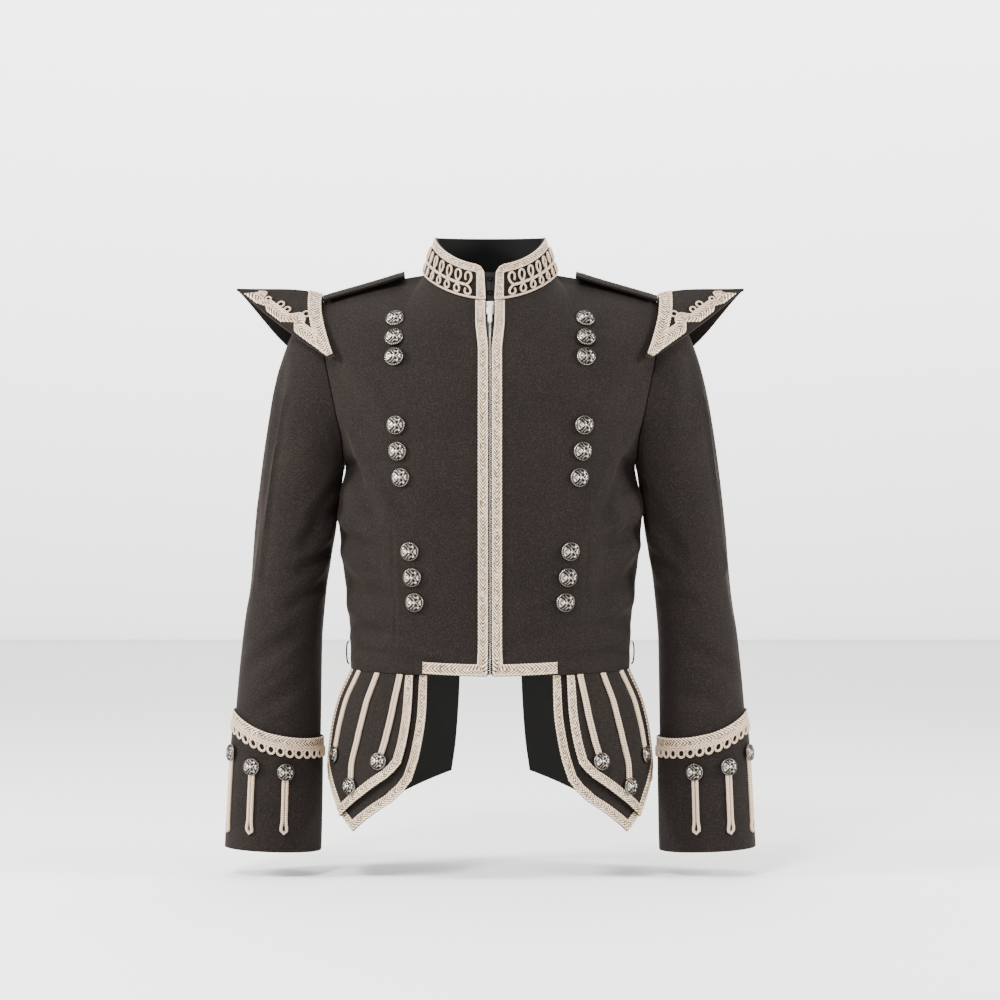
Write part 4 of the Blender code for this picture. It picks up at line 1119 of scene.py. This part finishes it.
FLAP_CLOTH, FLAP_BORDER = 2.6, 11.3
# Bars: share across at the hem and at the button, the button's height and seat
FLAP_BARS = (("inner", 0.122, 0.175, -607, 1.6), ("middle", 0.385, 0.46, -640, 1.6),
             ("outer", 0.695, 0.74, -603, 1.0))
FLAP_CUTS = {"over": ((0.16, 0.185), 0.020), "under": ((0.17, 0.205), 0.023),
             "rear": ((0.25, 0.20), 0.033)}


def flap_turn(kind, share, height):
    """How far round the hip a share of the flap's width lies, in radians from the middle."""
    half_width = SKIRT.at(height).half_width - FLAP_INSET[kind]
    sides = FLAP_SIDES[kind].at(height)
    first, last = (math.asin(min((x - FLAP_INSET[kind]) / half_width, 0.9995)
                             ** (RING_POWER / 2)) for x in (sides.inner, sides.outer))
    return first + (last - first) * share


def skirt_point(kind, turned, height):
    """A flap's outer face, turned in radians round the hip from the middle of the body."""
    ring, inset = SKIRT.at(height), FLAP_INSET[kind]
    depth = ring.back if kind == "rear" else -ring.front
    exponent = 2 / RING_POWER
    return Vector(((ring.half_width - inset) * power(math.sin(turned), exponent),
                   (depth - math.copysign(inset, depth)) * power(math.cos(turned), exponent),
                   height))


def flap_top(share, kind):
    return -499.9 + 3.6 * share if kind != "rear" else -499.2 + 3.5 * share


def flap_foot(share, kind):
    """The flap's lower edge, straight between the places of its table."""
    table = FLAP_HEMS[kind]
    for (low, first), (high, second) in zip(table, table[1:]):
        if share <= high:
            return first + (second - first) * (share - low) / (high - low)
    return table[-1][1]


SKIRT_ROUND = {kind: by_length(lambda turned: skirt_point(kind, turned, -600), 0.001,
                               math.pi / 2 + 0.05) for kind in FLAP_SIDES}
for name, side in SIDES:
    for kind in ("over", "under", "rear"):
        shares = sorted(spread(0, 1, 38) + [corner[0] for corner in FLAP_HEMS[kind][1:-1]])
        rows = []
        for level in spread(0, 1, 44):
            line = []
            for share in shares:
                top, foot = flap_top(share, kind), flap_foot(share, kind)
                height = top + (foot - top) * level
                line.append(mirror(skirt_point(kind, flap_turn(kind, share, height), height),
                                   side))
            rows.append(line)
        back = kind == "rear"
        node = f"flap_{kind}_{name}"
        flat, area = FLAP_CUTS[kind]
        cloth_piece(node, rows, FLAP_CLOTH, side if back else -side, flat, "hung", area,
                    turn=lambda i, j, normal: Vector((normal.x, normal.y, 0)) if i == 0
                    else normal)
        hip, way = SKIRT_ROUND[kind], -1 if back else 1

        def skirt_spot(u, v):
            return skirt_point(kind, hip.place(way * u), v)

        def flap_u(share, height):
            return way * hip.length(flap_turn(kind, share, height))
        face = Face(skirt_spot, side)
        outline = [(flap_u(0, height), height) for height in
                   reversed(spread(flap_foot(0, kind), flap_top(0, kind) - 0.2, 10))]
        for (low, first), (high, second) in zip(FLAP_HEMS[kind], FLAP_HEMS[kind][1:]):
            for part in (0.34, 0.67, 1):
                share, height = low + (high - low) * part, first + (second - first) * part
                outline.append((flap_u(share, height), height))
        outline += [(flap_u(1, height), height)
                    for height in spread(flap_foot(1, kind), flap_top(1, kind) - 0.2, 10)][1:]
        if back:
            outline.reverse()
        pairs = bordered(outline, FLAP_BORDER)
        for outer, inner in (pairs[0], pairs[-1]):
            inner.y = outer.y
        ribbon(f"flap_braid_{kind}_{name}", face, pairs, node)
        if kind == "over":
            bars = []
            for _, start, share, foot, _ in FLAP_BARS:
                top = flap_top(start, kind)
                for gap in (-BAR_CORD, BAR_CORD):
                    bars.append([face.at(flap_u(share + (start - share) * rise, z) + gap, z, 1.4)
                                 for z, rise in ((foot + (top - foot) * rise, rise)
                                                 for rise in spread(0.04, 1, 24))])
            cords("flap_bars_" + name, bars, BAR_CORD, node)

# Buttons
# Cast nickel buttons, domed, with a rope rim and a scroll in relief, their hollows darkened by
# painted shade. Each has a shank sewn through the cloth: three groups of three down each side,
# three on each cuff and three on each upper flap.


def nickel_material():
    """Nickel: polished high parts, and painted shade that darkens the hollows of the relief."""
    made, tree, shader = new_material("nickel_painted_hollow_shade", Metallic=1.0, Roughness=0.3)
    relief = add_node(tree, "Attribute", {"attribute_name": "relief"}, "Fac")
    place = add_node(tree, "TexCoord", pick="Object")
    spots = add_node(tree, "TexNoise", Vector=place, Scale=700.0, Detail=3.0)
    relief_and_spots = add_node(tree, "Math", {"operation": "MULTIPLY_ADD"}, _0=spots, _1=0.25, _2=relief)
    # Painted shade: the colour runs from near black in the hollows of the relief to bright nickel
    # on its high parts.
    tone = add_node(tree, "ValToRGB", {"stops": (
        (0.15, "#12100e"), (0.5, "#47423d"), (0.85, "#8f8982"), (1.0, "#bfb9b1"))},
                    Fac=relief_and_spots)
    rough = add_node(tree, "MapRange", Value=relief_and_spots, From_Min=0.2, From_Max=1.0,
                     To_Min=0.55, To_Max=0.3)
    connect(tree, shader, Base_Color=tone, Roughness=rough)
    return made


NICKEL = nickel_material()
BUTTON_RINGS, BUTTON_SPOKES = 22, 60
BUTTON_RADIUS, SMALL_RADIUS = 12.0, 11.0


def button_relief(out, turn):
    """Height of the relief from 0 to 1, by share of the radius and by angle."""
    if out > 0.84:
        rope = 0.55 + 0.45 * math.cos(30 * turn + 14 * out)
        return math.exp(-((out - 0.92) / 0.045) ** 2) * rope
    x, y = abs(math.sin(turn)) * out, math.cos(turn) * out
    scroll = math.sin(8 * x + 2.6 * math.sin(5 * y + 0.6)) * math.cos(7 * y - 2 * math.sin(6 * x))
    fade = 1 - math.exp(-((out - 0.84) / 0.05) ** 2)
    return min(max(0.55 + 0.7 * scroll, 0), 1) * fade


def embossed_button(node, face, u, v, seat, radius):
    """A domed button on a face, its shank hidden under it."""
    foot, direction = face.at(u, v, seat), face.normal(u, v)
    turned = direction.to_track_quat("Z", "Y")
    points, relief, faces = [], [], []
    profile = [(0.9, 0.0), (0.985, 0.04), (1.0, 0.09)]
    for step in range(1, BUTTON_RINGS):
        out = 0.975 * (1 - step / BUTTON_RINGS)
        profile.append((out, 0.12 + 0.26 * math.sqrt(max(1 - out ** 2, 0))))
    for number, (out, rise) in enumerate(profile):
        for spoke in range(BUTTON_SPOKES):
            turn = math.tau * spoke / BUTTON_SPOKES
            high = button_relief(out, turn) if number > 2 else 0.5
            spot = Vector((math.cos(turn) * out, math.sin(turn) * out,
                           rise + (0.075 * high if number > 2 else 0)))
            points.append(foot + turned @ (spot * radius))
            relief.append(high)
    points.append(foot + turned @ Vector((0, 0, 0.455 * radius)))
    relief.append(1.0)
    for ring in range(len(profile) - 1):
        for spoke in range(BUTTON_SPOKES):
            low, ahead = ring * BUTTON_SPOKES, (spoke + 1) % BUTTON_SPOKES
            faces.append([low + spoke, low + ahead, low + BUTTON_SPOKES + ahead,
                          low + BUTTON_SPOKES + spoke])
    last = (len(profile) - 1) * BUTTON_SPOKES
    faces += [[last + spoke, last + (spoke + 1) % BUTTON_SPOKES, len(points) - 1]
              for spoke in range(BUTTON_SPOKES)]
    faces.append(list(range(BUTTON_SPOKES))[::-1])
    made = add_mesh(node + "_cast", points, faces, (NICKEL,), sharp=60)
    heights = made.data.attributes.new("relief", "FLOAT", "POINT")
    heights.data.foreach_set("value", relief)
    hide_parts(node)


# Groups down the front: name, seat above the cloth, distance from the centre and height of each
FRONT_BUTTONS = (
    ("top", 0.15, ((120, -52.5), (120.5, -77), (120, -102))),
    ("chest", 0.6, ((117, -187.5), (115, -220), (111, -253))),
    ("waist", 0.6, ((100, -345), (97, -377.5), (94, -409))))
for name, side in SIDES:
    face = Face(front_point, side)
    for group, seat, places in FRONT_BUTTONS:
        for number, (x, z) in enumerate(places, 1):
            embossed_button(f"button_{group}_{number}_{name}", face, x, z, seat, BUTTON_RADIUS)
    face = Face(lambda u, v: skirt_point("over", SKIRT_ROUND["over"].place(u), v), side)
    for group, _, share, z, seat in FLAP_BARS:
        u = SKIRT_ROUND["over"].length(flap_turn("over", share, z))
        embossed_button(f"button_flap_{group}_{name}", face, u, z, seat + 0.3, SMALL_RADIUS)
    face = Face(cuff_spot, side)
    for group, angle, drop in CUFF_BARS:
        u = CUFF_ROUND.total - CUFF_ROUND.length(angle)
        embossed_button(f"button_cuff_{group}_{name}", face, u, -drop, 2.6, SMALL_RADIUS)

# Zip and hooks
# A metal zip on woven black tape: two rows of teeth that lock together below the slider. Behind
# it a guard of lining cloth rises into the collar's gap and carries two small wire hooks.
TOOTH_PITCH, TAPE_HALF, TAPE_THICKNESS = 2.6, 12, 0.8


def centre_front(z):
    """How far in front of the origin the front's edge lies at a height."""
    return -front_point(OPENING.at(z).half, z).y


def teeth_group():
    """Small blocks set along curves at an even spacing."""
    tree, given = node_group("blocks_along_curve", Spacing="Float", Size="Vector",
                             Look="Material")
    spots = add_node(tree, "CurveToPoints", {"mode": "LENGTH"},
                     Curve=given["Geometry"], Length=given["Spacing"]).node
    block = add_node(tree, "MeshCube", Size=given["Size"])
    placed = add_node(tree, "InstanceOnPoints", Points=spots.outputs["Points"], Instance=block)
    return end_group(tree, placed, given["Look"])


def tape_material():
    """Black polyester zip tape: a tight twill."""
    made, tree, shader = new_material("black_zip_tape", Roughness=0.7)
    place = add_node(tree, "TexCoord", pick="Object")
    twill = add_node(tree, "TexWave", {"bands_direction": "DIAGONAL"}, "Fac",
                     Vector=place, Scale=300.0)
    tone = add_node(tree, "ValToRGB", {"stops": ((0.0, "#0d0c0c"), (1.0, "#232120"))}, Fac=twill)
    connect(tree, shader, Base_Color=tone)
    return made


def bright_material():
    """Bright plated zip metal, finely scuffed."""
    made, tree, shader = new_material("bright_zip_metal", Metallic=1.0,
                                      Base_Color=to_linear("#dcdad6"))
    place = add_node(tree, "TexCoord", pick="Object")
    scuffs = add_node(tree, "TexNoise", Vector=place, Scale=1500.0, Detail=2.0)
    rough = add_node(tree, "MapRange", Value=scuffs, To_Min=0.16, To_Max=0.38)
    connect(tree, shader, Roughness=rough)
    return made


TAPE, BRIGHT = tape_material(), bright_material()
heights = spread(-499, -51, 60)
rows = [[Vector((x, -(centre_front(z) - CLOTH - 1.6), z))
         for x in spread(-TAPE_HALF, TAPE_HALF, 8)] for z in heights]
tape = shell("zip_tape_woven", rows, TAPE_THICKNESS, 1, looks=(TAPE, TAPE))
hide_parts("zip_tape")
TEETH_GROUP = teeth_group()
rails = [[Vector((x, -(centre_front(z) - CLOTH - 0.9), z + shift)) for z in heights[:-1]]
         for x, shift in ((-0.75, 0.0), (0.75, TOOTH_PITCH / 2))]
grow("zip_teeth", TEETH_GROUP, rails, "zip_tape", Spacing=TOOTH_PITCH * MM,
     Size=Vector((2.3, 1.6, 1.15)) * MM, Look=BRIGHT)
for node, look in (("zip_guard", LINING), ("zip_slider", BRIGHT), ("zip_pull", BRIGHT)):
    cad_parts[node].data.materials.clear()
    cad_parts[node].data.materials.append(look)
hooks = []
for z in (-2, -20):
    y = -(86 - 10 * (z + 31) / 45 - 6.2)
    hooks.append([Vector((3.4 * math.sin(turn), y - 1.2 * math.cos(turn) ** 2,
                          z + 2.6 * math.cos(turn))) for turn in spread(0, math.tau, 24)])
grow("collar_hooks", CORD_GROUP, hooks, Radius=0.6 * MM, Look=NICKEL)

# Belt loops
# Narrow standing loops of the same wool at the side seams, sewn down at both ends.
LOOP_FOOT, LOOP_HEIGHT, LOOP_STAND = -492, 30, 4.0
for name, side in SIDES:
    rows = []
    for along in spread(0, 1, 24):
        z = LOOP_FOOT + LOOP_HEIGHT * along
        edge = BODY.at(min(max((z + 495) / 41, 0), 1)).edge_x
        stand = LOOP_STAND * math.sin(math.pi * along) ** 0.3 + 2.2
        rows.append([mirror(Vector((edge + stand, y, z)), side) for y in spread(-4, 4, 6)])
    cloth_piece("belt_loop_" + name, rows, 1.5, side, (0.016, 0.036), "stretched", 0.0003,
                looks=(WOOL, WOOL))

# Studio
# A plain pale floor and a lit backdrop, soft light from both sides and above.


def area_light(name, place, aim, size, strength):
    data = bpy.data.lights.new(name, "AREA")
    data.shape, data.size, data.energy = "SQUARE", size, strength
    made = new_object(name, data)
    made.location = place
    made.rotation_euler = (Vector(aim) - Vector(place)).to_track_quat("-Z", "Y").to_euler()


FLOOR, REACH, BACKDROP_TOP = -0.76, 6, 5
floor_mesh = bpy.data.meshes.new("floor")
floor_mesh.from_pydata([(-REACH, -REACH, FLOOR), (REACH, -REACH, FLOOR), (REACH, REACH, FLOOR),
                        (-REACH, REACH, FLOOR), (-REACH, REACH, BACKDROP_TOP),
                        (REACH, REACH, BACKDROP_TOP)], [], [(0, 1, 2, 3), (3, 2, 5, 4)])
floor_look, _, _ = new_material("pale_floor", Roughness=0.8, Base_Color=to_linear("#f2f1ef"))
floor_mesh.materials.append(floor_look)
backdrop_look, tree, shader = new_material("lit_backdrop", Emission_Color=to_linear("#ffffff"))
rise = add_node(tree, "SeparateXYZ", pick="Z", Vector=add_node(tree, "TexCoord", pick="Object"))
glow = add_node(tree, "MapRange", Value=rise, From_Min=FLOOR, From_Max=1.4, To_Min=1.1, To_Max=3.2)
connect(tree, shader, Emission_Strength=glow)
floor_mesh.materials.append(backdrop_look)
floor_mesh.polygons[1].material_index = 1
new_object("floor", floor_mesh)
# Lights: name, place, where it points, width, watts
for light in (("key", (-2.8, -0.9, 0.9), (0, 0, -0.3), 0.8, 200),
              ("fill", (2.8, -0.7, 0.6), (0, 0, -0.35), 0.8, 150),
              ("front", (-1.1, -2.6, 2.5), (0, 0, -0.2), 0.8, 215),
              ("top", (0, 0.8, 2.4), (0, 0, -0.2), 1.6, 60)):
    area_light(*light)
world = bpy.data.worlds.new("studio")
world.use_nodes = True
connect(world.node_tree, world.node_tree.nodes["Background"], Color=to_linear("#ffffff"),
        Strength=0.95)
bpy.context.scene.world = world

# Camera
# Level with the middle of the body, looking straight at the front, framed as the photograph.
camera_data = bpy.data.cameras.new("camera")
camera_data.sensor_width = 36
camera_data.lens = 100.8
camera = new_object("camera", camera_data)
camera.location = (0.0125, -3.6, -0.281)
camera.rotation_euler = (math.pi / 2, 0, 0)
bpy.context.scene.camera = camera
